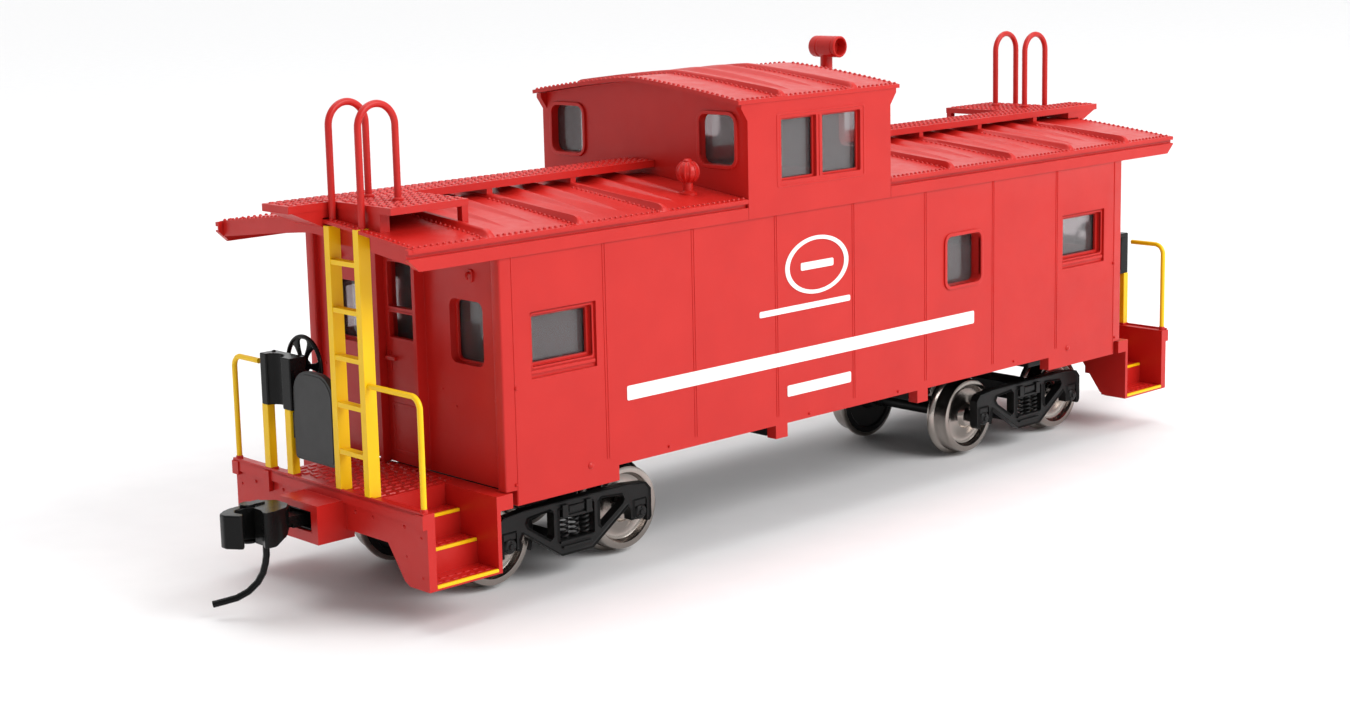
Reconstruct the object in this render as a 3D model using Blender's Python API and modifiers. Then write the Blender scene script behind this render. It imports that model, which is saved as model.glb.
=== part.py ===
"""HO scale (1:87) caboose with a wide cupola: body, roofs, end platforms, two swivelling trucks
and knuckle couplers, each piece as its own object.

Lengths are written in millimetres and turned into metres by MM. X runs along the car, Y across it,
Z up. Heights are counted from the top of the rail: the empty that carries everything stands one
flange depth above the ground, so that the wheel flanges rest on it. The A end is at -X. The B end
is the same set of pieces turned half round about Z.
"""

import math

import bmesh
import bpy
from mathutils import Matrix, Vector

MM = 0.001
GAP = 0.03

# Wheels and trucks
FLANGE_DEPTH = 0.65
TREAD_RADIUS = 4.81
WHEELBASE = 19.2
TRUCK_SPACING = 81.2
AXLE_HALF_LENGTH = 12.2
WHEEL_BACK = 7.2
WHEEL_FACE = 9.99
SIDEFRAME_Y = (11.4, 12.65)
BOLSTER_TOP = 8.2

# Body
BODY_HALF_LENGTH = 53.65
BODY_HALF_WIDTH = 17.25
WALL = 1.4
CORNER_RADIUS = 0.8
CORNER_POST_END = 54.35
CORNER_POST_Y = 15.85
SILL_Z = 12.4
FLAP_Z = 10.7
FLAP_START = 38.4
TAB_X = 12.7
SIDE_WINDOW = (41.6, 50.0, 25.0, 30.5)
SIDE_WINDOW_FRAME = (41.2, 50.4, 23.8, 30.9)
SMALL_WINDOW = (17.3, 24.0, 24.6, 30.8)
END_WINDOW = (7.95, 13.5, 25.0, 31.9)
DOOR_HALF_WIDTH = 3.15
DOOR_TOP = 35.8
DOOR_FRAME = 0.55
DOOR_FRAME_DEPTH = 1.3

# Main roof
ROOF_END = 65.3
FASCIA_END = 65.9
ROOF_HALF_WIDTH = 17.5
FASCIA = 0.23
FASCIA_Z = 36.95
EAVE_Z = 39.2
ROOF_RISE = 1.95
ROOF_CURVE = 1.15
ROOF_SHEET = 1.2
GROOVE_Z = (38.3, 38.75)
END_FASCIA_HEIGHT = 1.7
LIP_Y = 16.9
LADDER_NOTCH_Y = (2.3, 10.4)
LADDER_NOTCH_X = 62.6

# Cupola
CUPOLA_A = -17.9
CUPOLA_B = 6.55
CUPOLA_TOP_A = -18.85
CUPOLA_TOP_B = 7.6
CUPOLA_LETTERBOARD_Z = 48.05
CUPOLA_FLARE_Z = 49.45
CUPOLA_WALL = 0.8
CUPOLA_ROOF_A = -19.4
CUPOLA_ROOF_B = 8.1
CUPOLA_ROOF_HALF_WIDTH = 17.6
CUPOLA_EAVE_Z = 50.4
CUPOLA_RISE = 2.1
CUPOLA_CURVE = 1.3
CUPOLA_SHEET = 0.45
CUPOLA_SIDE_WINDOWS = ((-12.45, -6.55), (-5.55, 1.1))
CUPOLA_SIDE_WINDOW_Z = (40.8, 47.95)
CUPOLA_END_WINDOW = (10.0, 15.6, 42.9, 48.6)

# Platforms and steps
DECK_END = 65.4
DECK_Z = 12.3
DECK_THICKNESS = 1.2
PLATFORM_START = BODY_HALF_LENGTH + 0.05
STEP_INNER = (55.4, 55.9)
STEP_OUTER = (64.0, 65.0)
STEP_BOTTOM = 4.1
TREAD = 0.5
TREADS = ((17.5, 4.6), (14.0, 7.3), (11.3, 10.0), (8.9, DECK_Z))
BEAM_HALF_WIDTH = 15.3
BEAM_BOTTOM = 8.1
DRAFT_BOX = (68.7, 3.5, 7.1, 11.3)

# Flat pad under the centre sill
PAD_HALF_LENGTH = 12.0
PAD_HALF_WIDTH = 2.3
PAD_Z = 8.4

# Ladders, rails, grab loops and boards
LADDER_X = (63.95, 65.4)
STILE_Y = (2.9, 8.0)
STILE = 0.9
LADDER_TOP = 40.4
RUNG_BOTTOM = 16.6
RUNG_PITCH = 5.025
RUNG_COUNT = 5
LOOP_RADIUS = 0.38
LOOP_OUTER_X = 64.5
LOOP_INNER_X = 59.8
LOOP_TOP = 53.0
RAIL_RADIUS = 0.27
RAIL_X = 64.85
RAIL_Y = 16.9
RAIL_TOP = 24.2
BOARD_Z = (42.0, 42.8)
BOARD_HALF_WIDTH = 2.4
BOARD_END = 69.6
SIDE_BOARD_X = (54.0, 64.0)
SIDE_BOARD_Y = 12.3
END_PLATE_X = (62.7, 63.9)
END_PLATE_Z = 38.3
BOARD_SUPPORT_PITCH = 12.28

# Roof fittings
SMOKE_JACK = (22.6, 7.0, 53.5)
DRUM_LENGTH = 4.9
DRUM_RADIUS = 1.4
ROOF_VENT = (-22.0, -12.0, 42.4)
VENT_RADIUS = 1.38

# Hand brake
STAND_X = (64.4, 65.4)
POST_Y = (6.05, 10.4)
POST = 1.1
STAND_TOP = 19.6
HOUSING_X = (63.3, 65.45)
HOUSING_Y = (5.1, 10.85)
HOUSING_TOP = 25.35
HOUSING_SCOOP = (1.45, 1.15)
BRAKE_WHEEL_AT = (61.9, 7.6, 23.85)
BRAKE_WHEEL_RADIUS = 3.38
BRAKE_WHEEL_HOLE = (2.05, 0.78)
GUARD_X = (64.5, 65.2)
GUARD_Y = (-2.35, 5.05)
GUARD_Z = (14.5, 24.3)
GUARD_CROWN = 2.7

# Couplers
COUPLER_Z = 9.7
COUPLER_PIVOT = 61.6
BOX_X = (58.5, 68.4)
BOX_HALF_WIDTH = 2.3
BOX_Z = (8.3, 10.5)
SHANK_Z = (8.75, 10.05)
HEAD_HALF_HEIGHT = 1.9
KNUCKLE_HALF_HEIGHT = 1.8
KNUCKLE_PIN = (73.9, 1.6)
TRIP_PIN_RADIUS = 0.38

RED = ("caboose_red", (0.62, 0.055, 0.04), 0.32, 0.0)
YELLOW = ("safety_yellow", (0.95, 0.62, 0.01), 0.4, 0.0)
BLACK = ("underframe_black", (0.03, 0.03, 0.03), 0.55, 0.0)
GREY = ("guard_grey", (0.05, 0.05, 0.052), 0.5, 0.0)
STEEL = ("nickel_steel", (0.5, 0.46, 0.42), 0.35, 1.0)
CLEAR = ("smoked_glazing", (0.2, 0.18, 0.18), 0.1, 0.0)


def clear_scene():
    for obj in list(bpy.data.objects):
        bpy.data.objects.remove(obj, do_unlink=True)


def new_collection(name):
    collection = bpy.data.collections.new(name)
    bpy.context.scene.collection.children.link(collection)
    return collection


clear_scene()
PARTS = new_collection("caboose")
WORKSHOP = new_collection("cutters")
RAIL_TOP_EMPTY = bpy.data.objects.new("rail_top", None)
PARTS.objects.link(RAIL_TOP_EMPTY)
RAIL_TOP_EMPTY.location = (0, 0, FLANGE_DEPTH * MM)


def material(spec):
    name, colour, roughness, metallic = spec
    found = bpy.data.materials.get(name)
    if found:
        return found
    made = bpy.data.materials.new(name)
    made.use_nodes = True
    shader = made.node_tree.nodes["Principled BSDF"]
    shader.inputs["Base Color"].default_value = (*colour, 1)
    shader.inputs["Roughness"].default_value = roughness
    shader.inputs["Metallic"].default_value = metallic
    return made


def object_from(bm, name="tool"):
    """A helper object in the workshop, from a bmesh in millimetres."""
    bmesh.ops.scale(bm, vec=(MM, MM, MM), verts=bm.verts)
    bmesh.ops.recalc_face_normals(bm, faces=bm.faces)
    mesh = bpy.data.meshes.new(name)
    bm.to_mesh(mesh)
    bm.free()
    obj = bpy.data.objects.new(name, mesh)
    WORKSHOP.objects.link(obj)
    obj.hide_render = True
    obj.display_type = "WIRE"
    return obj


def box(x0, x1, y0, y1, z0, z1, round_axis=None, radius=0.0, segments=3):
    """A box between two corners. round_axis rounds its four edges along that axis."""
    bm = bmesh.new()
    bmesh.ops.create_cube(bm, size=1)
    size = (abs(x1 - x0), abs(y1 - y0), abs(z1 - z0))
    bmesh.ops.scale(bm, vec=size, verts=bm.verts)
    if round_axis is not None:
        along = [e for e in bm.edges if abs((e.verts[0].co - e.verts[1].co)[round_axis]) > 1e-6]
        bmesh.ops.bevel(bm, geom=along, offset=radius, segments=segments, profile=0.5, affect="EDGES")
    bmesh.ops.translate(bm, vec=((x0 + x1) / 2, (y0 + y1) / 2, (z0 + z1) / 2), verts=bm.verts)
    return object_from(bm)


AXIS_TURNS = {
    "x": Matrix.Rotation(math.radians(90), 4, "Y"),
    "y": Matrix.Rotation(math.radians(-90), 4, "X"),
    "z": Matrix.Identity(4),
}


def cylinder(axis, centre, radius, length, segments=24):
    bm = bmesh.new()
    bmesh.ops.create_cone(
        bm, cap_ends=True, segments=segments, radius1=radius, radius2=radius, depth=length
    )
    bmesh.ops.transform(bm, matrix=Matrix.Translation(centre) @ AXIS_TURNS[axis], verts=bm.verts)
    return object_from(bm)


def mesh_of(obj):
    graph = bpy.context.evaluated_depsgraph_get()
    return bpy.data.meshes.new_from_object(obj.evaluated_get(graph))


def prism(axis, points, low, high, holes=()):
    """A flat outline extruded along an axis. Points are (y, z) for x, (x, z) for y, (x, y) for z."""
    curve = bpy.data.curves.new("outline", "CURVE")
    curve.dimensions = "2D"
    curve.fill_mode = "BOTH"
    curve.extrude = abs(high - low) / 2
    for ring in (points, *holes):
        spline = curve.splines.new("POLY")
        spline.points.add(len(ring) - 1)
        for point, (u, v) in zip(spline.points, ring):
            point.co = (u, v, 0, 1)
        spline.use_cyclic_u = True
    guide = bpy.data.objects.new("outline", curve)
    WORKSHOP.objects.link(guide)
    bpy.context.view_layer.update()
    bm = bmesh.new()
    bm.from_mesh(mesh_of(guide))
    bpy.data.objects.remove(guide, do_unlink=True)
    bmesh.ops.remove_doubles(bm, verts=bm.verts, dist=1e-5)
    turn = {
        "x": Matrix(((0, 0, 1), (1, 0, 0), (0, 1, 0))),
        "y": Matrix(((1, 0, 0), (0, 0, -1), (0, 1, 0))),
        "z": Matrix.Identity(3),
    }[axis]
    middle = Vector([(low + high) / 2 if letter == axis else 0 for letter in "xyz"])
    bmesh.ops.transform(bm, matrix=Matrix.Translation(middle) @ turn.to_4x4(), verts=bm.verts)
    return object_from(bm)


def lathe(profile, axis, centre, steps=28):
    """A turned solid. The profile is (radius, height along the axis), from the top down."""
    bm = bmesh.new()
    verts = [bm.verts.new((radius * MM, 0, height * MM)) for radius, height in profile]
    for a, b in zip(verts, verts[1:]):
        bm.edges.new((a, b))
    mesh = bpy.data.meshes.new("profile")
    bm.to_mesh(mesh)
    bm.free()
    guide = bpy.data.objects.new("profile", mesh)
    WORKSHOP.objects.link(guide)
    screw = guide.modifiers.new("turn", "SCREW")
    screw.steps = screw.render_steps = steps
    screw.use_merge_vertices = True
    screw.merge_threshold = 1e-6
    screw.use_smooth_shade = False
    bpy.context.view_layer.update()
    turned = bmesh.new()
    turned.from_mesh(mesh_of(guide))
    bpy.data.objects.remove(guide, do_unlink=True)
    bmesh.ops.scale(turned, vec=(1 / MM,) * 3, verts=turned.verts)
    place = Matrix.Translation(centre) @ AXIS_TURNS[axis]
    bmesh.ops.transform(turned, matrix=place, verts=turned.verts)
    return object_from(turned)


def tube(points, radius, sides=2):
    """A round wire through the points, closed at both ends."""
    curve = bpy.data.curves.new("wire", "CURVE")
    curve.dimensions = "3D"
    curve.bevel_depth = radius
    curve.bevel_resolution = sides
    curve.use_fill_caps = True
    spline = curve.splines.new("POLY")
    spline.points.add(len(points) - 1)
    for point, place in zip(spline.points, points):
        point.co = (*place, 1)
    guide = bpy.data.objects.new("wire", curve)
    WORKSHOP.objects.link(guide)
    bpy.context.view_layer.update()
    bm = bmesh.new()
    bm.from_mesh(mesh_of(guide))
    bpy.data.objects.remove(guide, do_unlink=True)
    bmesh.ops.remove_doubles(bm, verts=bm.verts, dist=1e-4)
    return object_from(bm)


def combine(target, tools, operation):
    for tool in tools:
        modifier = target.modifiers.new(operation.lower(), "BOOLEAN")
        modifier.operation = operation
        modifier.object = tool
        modifier.solver = "EXACT"
    return target


def joined(first, *others):
    return combine(first, others, "UNION")


def cut(target, *tools):
    return combine(target, tools, "DIFFERENCE")


def part(shape, name, spec, origin=(0, 0, 0), parent=None, smooth=False):
    """Bakes a workshop shape into a named part whose own origin is at the given place."""
    bpy.context.view_layer.update()
    mesh = mesh_of(shape)
    mesh.name = name
    mesh.transform(Matrix.Translation(-Vector(origin) * MM))
    mesh.materials.clear()
    mesh.materials.append(material(spec))
    if smooth:
        mesh.shade_smooth()
        mesh.set_sharp_from_angle(angle=math.radians(40))
    made = bpy.data.objects.new(name, mesh)
    PARTS.objects.link(made)
    place(made, Vector(origin) * MM, parent)
    return made


def place(made, origin, parent):
    """Puts an object at a place in the car's frame, under its parent."""
    made.parent = parent or RAIL_TOP_EMPTY
    made.location = origin - (parent.location if parent else Vector())


def turned_copy(source, name, parent=None):
    """The same piece at the other end: turned half round about the car's vertical axis."""
    made = bpy.data.objects.new(name, source.data)
    PARTS.objects.link(made)
    at = source.location + (source.parent.location if source.parent != RAIL_TOP_EMPTY else Vector())
    place(made, Vector((-at.x, -at.y, at.z)), parent)
    made.rotation_euler = (0, 0, math.pi)
    return made


def both_ends(shape, name, spec, origin=(0, 0, 0), parents=(None, None), smooth=False):
    first = part(shape, name + "_a", spec, origin, parents[0], smooth)
    return first, turned_copy(first, name + "_b", parents[1])


def roof_level(y):
    """Height of the main roof above the rail, y from the middle."""
    return EAVE_Z + ROOF_RISE * (1 - abs(y / ROOF_HALF_WIDTH) ** ROOF_CURVE)


def cupola_level(y):
    return CUPOLA_EAVE_Z + CUPOLA_RISE * (1 - abs(y / CUPOLA_ROOF_HALF_WIDTH) ** CUPOLA_CURVE)


def arch_points(level, reach, drop, count=16):
    steps = [reach * (2 * k / count - 1) for k in range(count + 1)]
    return [(y, level(y) - drop) for y in steps]


def main_arch(reach, drop=0.0):
    return arch_points(roof_level, reach, drop)


def cupola_arch(reach, drop=0.0):
    return arch_points(cupola_level, reach, drop)


def below(outline, bottom):
    """The area between an arch and a level below it."""
    return outline + [(outline[-1][0], bottom), (outline[0][0], bottom)]


def above(outline, top):
    """The area between an arch and a level over it."""
    return outline + [(outline[-1][0], top), (outline[0][0], top)]


def arc(centre, radius, start, end, count):
    """Points on an arc, angles in degrees."""
    angles = [math.radians(start + (end - start) * k / count) for k in range(count + 1)]
    return [(centre[0] + radius * math.cos(a), centre[1] + radius * math.sin(a)) for a in angles]


def side_openings(x0, x1, z0, z1, depth=3.0, radius=0.5):
    """Two cutters of one shape, one into each long wall."""
    return [
        box(x0, x1, side * (BODY_HALF_WIDTH - depth), side * (BODY_HALF_WIDTH + 1), z0, z1,
            round_axis=1, radius=radius)
        for side in (-1, 1)
    ]


def make_body_shell():
    inner_x = BODY_HALF_LENGTH - WALL
    inner_y = BODY_HALF_WIDTH - WALL
    top = EAVE_Z + ROOF_RISE
    reach = BODY_HALF_LENGTH + 3
    shell = box(
        -BODY_HALF_LENGTH, BODY_HALF_LENGTH, -BODY_HALF_WIDTH, BODY_HALF_WIDTH,
        SILL_Z, top, round_axis=2, radius=CORNER_RADIUS,
    )
    hung = []
    for end in (-1, 1):
        for side in (-1, 1):
            skin = (side * inner_y, side * BODY_HALF_WIDTH)
            flap_end = end * (BODY_HALF_LENGTH - CORNER_RADIUS)
            hung.append(box(end * FLAP_START, flap_end, *skin, FLAP_Z, SILL_Z + 1))
            hung.append(box(end * TAB_X - 1, end * TAB_X + 1, *skin, FLAP_Z + 0.1, SILL_Z + 1))
            post_y = (side * CORNER_POST_Y, side * (BODY_HALF_WIDTH - 0.01))
            post_x = (end * (BODY_HALF_LENGTH - 1), end * CORNER_POST_END)
            hung.append(box(*post_x, *post_y, SILL_Z, top, round_axis=2, radius=0.2))
        frame_x = (end * (BODY_HALF_LENGTH - 0.5), end * (BODY_HALF_LENGTH + DOOR_FRAME_DEPTH))
        frame_y = DOOR_HALF_WIDTH + DOOR_FRAME
        hung.append(box(*frame_x, -frame_y, frame_y, SILL_Z, DOOR_TOP + DOOR_FRAME))
    joined(shell, *hung)
    cut(shell, box(-inner_x, inner_x, -inner_y, inner_y, SILL_Z - 5, top + 5))
    cut(shell, prism("x", above(main_arch(BODY_HALF_WIDTH + 1, ROOF_SHEET + GAP), top + 5),
                     -reach, reach))
    cut(shell, box(CUPOLA_A - 0.05, CUPOLA_B + 0.05, -20, 20, FASCIA_Z - 0.03, top + 5))
    for end in (-1, 1):
        near, far, z0, z1 = SIDE_WINDOW
        cut(shell, *side_openings(*sorted((end * near, end * far)), z0, z1, radius=0.2))
        near, far, z0, z1 = SIDE_WINDOW_FRAME
        cut(shell, *side_openings(*sorted((end * near, end * far)), z0, z1, 0.35, 0.1))
        y0, y1, z0, z1 = END_WINDOW
        x0, x1 = end * (inner_x - 1), end * reach
        for side in (-1, 1):
            cut(shell, box(x0, x1, side * y0, side * y1, z0, z1, round_axis=0, radius=0.9))
        cut(shell, box(x0, x1, -DOOR_HALF_WIDTH, DOOR_HALF_WIDTH, SILL_Z - 1, DOOR_TOP))
    cut(shell, *side_openings(*SMALL_WINDOW, radius=0.8))
    part(shell, "body_shell", RED)


def make_doors():
    x0 = -BODY_HALF_LENGTH - 0.3
    x1 = x0 + 0.6
    half = DOOR_HALF_WIDTH - GAP
    leaf = box(x0, x1, -half, half, SILL_Z + GAP, DOOR_TOP - GAP)
    for z0, z1 in ((26.5, 29.3), (29.9, 34.9)):
        cut(leaf, box(x0 - 1, x1 + 1, -2.3, 2.3, z0, z1, round_axis=0, radius=0.25))
    latch = box(x0 - 0.5, x0 + 0.2, 1.1, 2.8, 23.95, 24.4)
    both_ends(joined(leaf, latch), "end_door", RED)


def make_glazing():
    face = BODY_HALF_WIDTH - WALL - 0.04
    thickness = 0.4
    for side, name in ((-1, "glazing_near_side"), (1, "glazing_far_side")):
        strip = box(-51.3, 51.3, side * (face - thickness), side * face, 23.6, 31.6)
        part(strip, name, CLEAR)
    x0 = -(BODY_HALF_LENGTH - WALL) + 0.04
    both_ends(box(x0, x0 + thickness, -14.4, 14.4, 23.6, 35.4), "glazing_end", CLEAR)


def make_main_roof():
    inside = ROOF_HALF_WIDTH - FASCIA
    bottom = FASCIA_Z - 5
    top = EAVE_Z + ROOF_RISE
    for name, end, wall in (
        ("main_roof_a", -1, CUPOLA_A - 0.05), ("main_roof_b", 1, CUPOLA_B + 0.05),
    ):
        tip = end * (FASCIA_END + 1)
        section = below(main_arch(ROOF_HALF_WIDTH), FASCIA_Z)
        roof = prism("x", section, *sorted((end * FASCIA_END, wall)))
        cut(roof, box(end * ROOF_END, tip, -LIP_Y, LIP_Y, bottom, top + 2))
        hollow = below(main_arch(inside, ROOF_SHEET), bottom)
        cut(roof, prism("x", hollow, *sorted((end * (ROOF_END - 0.5), wall - end * 2))))
        archway = below(main_arch(LIP_Y - 0.13, END_FASCIA_HEIGHT), bottom)
        cut(roof, prism("x", archway, *sorted((end * (ROOF_END - 3), tip))))
        for side in (-1, 1):
            groove = (side * (ROOF_HALF_WIDTH - 0.4), side * (ROOF_HALF_WIDTH + 1))
            cut(roof, box(wall - end, tip, *groove, *GROOVE_Z))
        slope = [
            (tip, FASCIA_Z + 2.1), (tip, FASCIA_Z - 1), (end * (ROOF_END - 1.8), FASCIA_Z - 1),
        ]
        cut(roof, prism("y", slope, -20, 20))
        notch = [end * y for y in LADDER_NOTCH_Y]
        cut(roof, box(end * LADDER_NOTCH_X, tip, *notch, FASCIA_Z - 2, top + 2))
        part(roof, name, RED)


def make_cupola():
    half = ROOF_HALF_WIDTH
    top = CUPOLA_EAVE_Z + CUPOLA_RISE
    x0, x1, y1 = CUPOLA_A + CUPOLA_WALL, CUPOLA_B - CUPOLA_WALL, half - CUPOLA_WALL
    shell = box(CUPOLA_A, CUPOLA_B, -half, half, FASCIA_Z, top)
    board = [
        (CUPOLA_A, CUPOLA_LETTERBOARD_Z), (CUPOLA_B, CUPOLA_LETTERBOARD_Z),
        (CUPOLA_TOP_B, CUPOLA_FLARE_Z), (CUPOLA_TOP_B, top), (CUPOLA_TOP_A, top),
        (CUPOLA_TOP_A, CUPOLA_FLARE_Z),
    ]
    joined(shell, *[prism("y", board, *sorted((side * y1, side * half))) for side in (-1, 1)])
    cut(shell, box(x0, x1, -y1, y1, FASCIA_Z - 2, top + 2))
    cut(shell, prism("x", above(cupola_arch(half + 1, CUPOLA_SHEET + GAP), top + 4),
                     CUPOLA_TOP_A - 2, CUPOLA_TOP_B + 2))
    z0, z1 = CUPOLA_SIDE_WINDOW_Z
    for side in (-1, 1):
        for left, right in CUPOLA_SIDE_WINDOWS:
            cut(shell, box(left, right, side * (half - 3), side * (half + 1), z0, z1,
                           round_axis=1, radius=0.15))
    near, far, z0, z1 = CUPOLA_END_WINDOW
    for wall in (CUPOLA_A, CUPOLA_B):
        for side in (-1, 1):
            cut(shell, box(wall - 2, wall + 2, side * near, side * far, z0, z1,
                           round_axis=0, radius=1.0))
    part(shell, "cupola_shell", RED)

    reach = CUPOLA_ROOF_HALF_WIDTH
    roof = prism("x", below(cupola_arch(reach), CUPOLA_EAVE_Z - 2), CUPOLA_ROOF_A, CUPOLA_ROOF_B)
    hollow = below(cupola_arch(reach + 1, CUPOLA_SHEET), CUPOLA_EAVE_Z - 4)
    cut(roof, prism("x", hollow, CUPOLA_ROOF_A - 1, CUPOLA_ROOF_B + 1))
    part(roof, "cupola_roof", RED)

    thickness = 0.4
    glass_x = (x0 + 0.04, x1 - 0.04)
    glass_y = y1 - 0.04
    glass = box(*glass_x, -glass_y, glass_y, 39.9, 49.3)
    cut(glass, box(glass_x[0] + thickness, glass_x[1] - thickness,
                   -glass_y + thickness, glass_y - thickness, 38.0, 51.0))
    part(glass, "glazing_cupola", CLEAR)


def make_roof_fittings():
    jack_x, jack_y, jack_z = SMOKE_JACK
    reach, cap = DRUM_LENGTH / 2, DRUM_RADIUS * 0.55
    foot = roof_level(jack_y - 1.4) + GAP
    flue = [
        (0, jack_z), (0.8, jack_z), (0.8, foot + 0.9), (1.3, foot + 0.6), (1.3, foot), (0, foot),
    ]
    jack = lathe(flue, "z", (jack_x, jack_y, 0), 20)
    dome = [(DRUM_RADIUS * math.cos(a), cap * math.sin(a)) for a in (1.2, 0.8, 0.4, 0.0)]
    drum = [(0, reach)] + [(r, reach - cap + h) for r, h in dome]
    drum += [(DRUM_RADIUS, -reach), (0, -reach)]
    joined(jack, lathe(drum, "y", (jack_x, jack_y, jack_z), 20))
    cut(jack, cylinder("y", (jack_x, jack_y - reach, jack_z), DRUM_RADIUS - 0.3, 2.6, 20))
    part(jack, "smoke_jack", RED, (jack_x, jack_y, foot), smooth=True)

    vent_x, vent_y, ball_z = ROOF_VENT
    base = roof_level(vent_y + 1.0) + GAP
    ball = arc((0, ball_z), VENT_RADIUS, 90, -66, 9)
    stem = [(0.55, base + 0.5), (1.0, base + 0.35), (1.0, base), (0, base)]
    part(lathe([(max(r, 0), z) for r, z in ball] + stem, "z", (vent_x, vent_y, 0), 20),
         "roof_vent", RED, (vent_x, vent_y, base), smooth=True)


def make_running_boards():
    low, high = BOARD_Z
    saddle = roof_level(0) + GAP
    for name, end, wall in (
        ("running_board_a", -1, CUPOLA_A - 0.1), ("running_board_b", 1, CUPOLA_B + 0.1),
    ):
        board = box(wall, end * BOARD_END, -BOARD_HALF_WIDTH, BOARD_HALF_WIDTH, low, high)
        ladder_side = [end * y for y in (BOARD_HALF_WIDTH - 0.3, SIDE_BOARD_Y)]
        side_x = [end * x for x in SIDE_BOARD_X]
        plate_y = [end * y for y in (LADDER_NOTCH_Y[0] + 0.1, LADDER_NOTCH_Y[1] - 0.1)]
        outer = [end * y for y in (SIDE_BOARD_Y - 0.9, SIDE_BOARD_Y - 0.1)]
        pieces = [
            box(*side_x, *ladder_side, low + 0.05, high - 0.02),
            box(*[end * x for x in END_PLATE_X], *plate_y, END_PLATE_Z, low + 0.3),
            box(side_x[0], side_x[0] + end * 0.8, *outer,
                roof_level(SIDE_BOARD_Y - 0.9) + GAP, low + 0.2),
        ]
        front = ROOF_END + GAP
        bracket = [(front, 40.25), (front, saddle), (63.0, saddle), (63.0, low + 0.2),
                   (BOARD_END - 0.4, low + 0.2), (BOARD_END - 0.4, low)]
        pieces.append(prism("y", [(end * x, z) for x, z in bracket], -2.3, 2.3))
        x = end * 4.5 * BOARD_SUPPORT_PITCH
        while end * (x - wall) > 2:
            pieces.append(box(x - 0.4, x + 0.4, -2.3, 2.3, saddle, low + 0.2))
            x -= end * BOARD_SUPPORT_PITCH
        part(joined(board, *pieces), name, RED)


def make_ladder():
    x0, x1 = sorted(-x for x in LADDER_X)
    stiles = [
        box(x0, x1, -y - STILE / 2, -y + STILE / 2, DECK_Z + GAP, LADDER_TOP) for y in STILE_Y
    ]
    rungs = [
        box(x0 + 0.05, x0 + 1.1, -STILE_Y[1], -STILE_Y[0], z - 0.25, z + 0.25)
        for z in (RUNG_BOTTOM + k * RUNG_PITCH for k in range(RUNG_COUNT))
    ]
    both_ends(joined(stiles[0], stiles[1], *rungs), "ladder", YELLOW)


def make_grab_loops():
    radius = (LOOP_OUTER_X - LOOP_INNER_X) / 2
    middle = (LOOP_OUTER_X + LOOP_INNER_X) / 2
    top = arc((-middle, LOOP_TOP - radius), radius, 180, 0, 12)
    route = [(-LOOP_OUTER_X, LADDER_TOP + GAP)] + top + [(-LOOP_INNER_X, BOARD_Z[1] + GAP)]
    for y, name in zip(STILE_Y, ("grab_loop_inner", "grab_loop_outer")):
        both_ends(tube([(x, -y, z) for x, z in route], LOOP_RADIUS), name, RED, smooth=True)


def make_corner_rails():
    bend = 1.3
    ladder_end = STILE_Y[1] + STILE / 2 + GAP
    brake_end = HOUSING_Y[1] + GAP
    for side, end_y, name in (
        (-1, ladder_end, "rail_ladder_side"), (1, brake_end, "rail_brake_side"),
    ):
        corner = arc((RAIL_Y - bend, RAIL_TOP - bend), bend, 0, 90, 6)
        route = [(RAIL_Y, DECK_Z + GAP)] + corner + [(end_y, RAIL_TOP)]
        wire = tube([(-RAIL_X, side * y, z) for y, z in route], RAIL_RADIUS)
        both_ends(wire, name, YELLOW, smooth=True)


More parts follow.
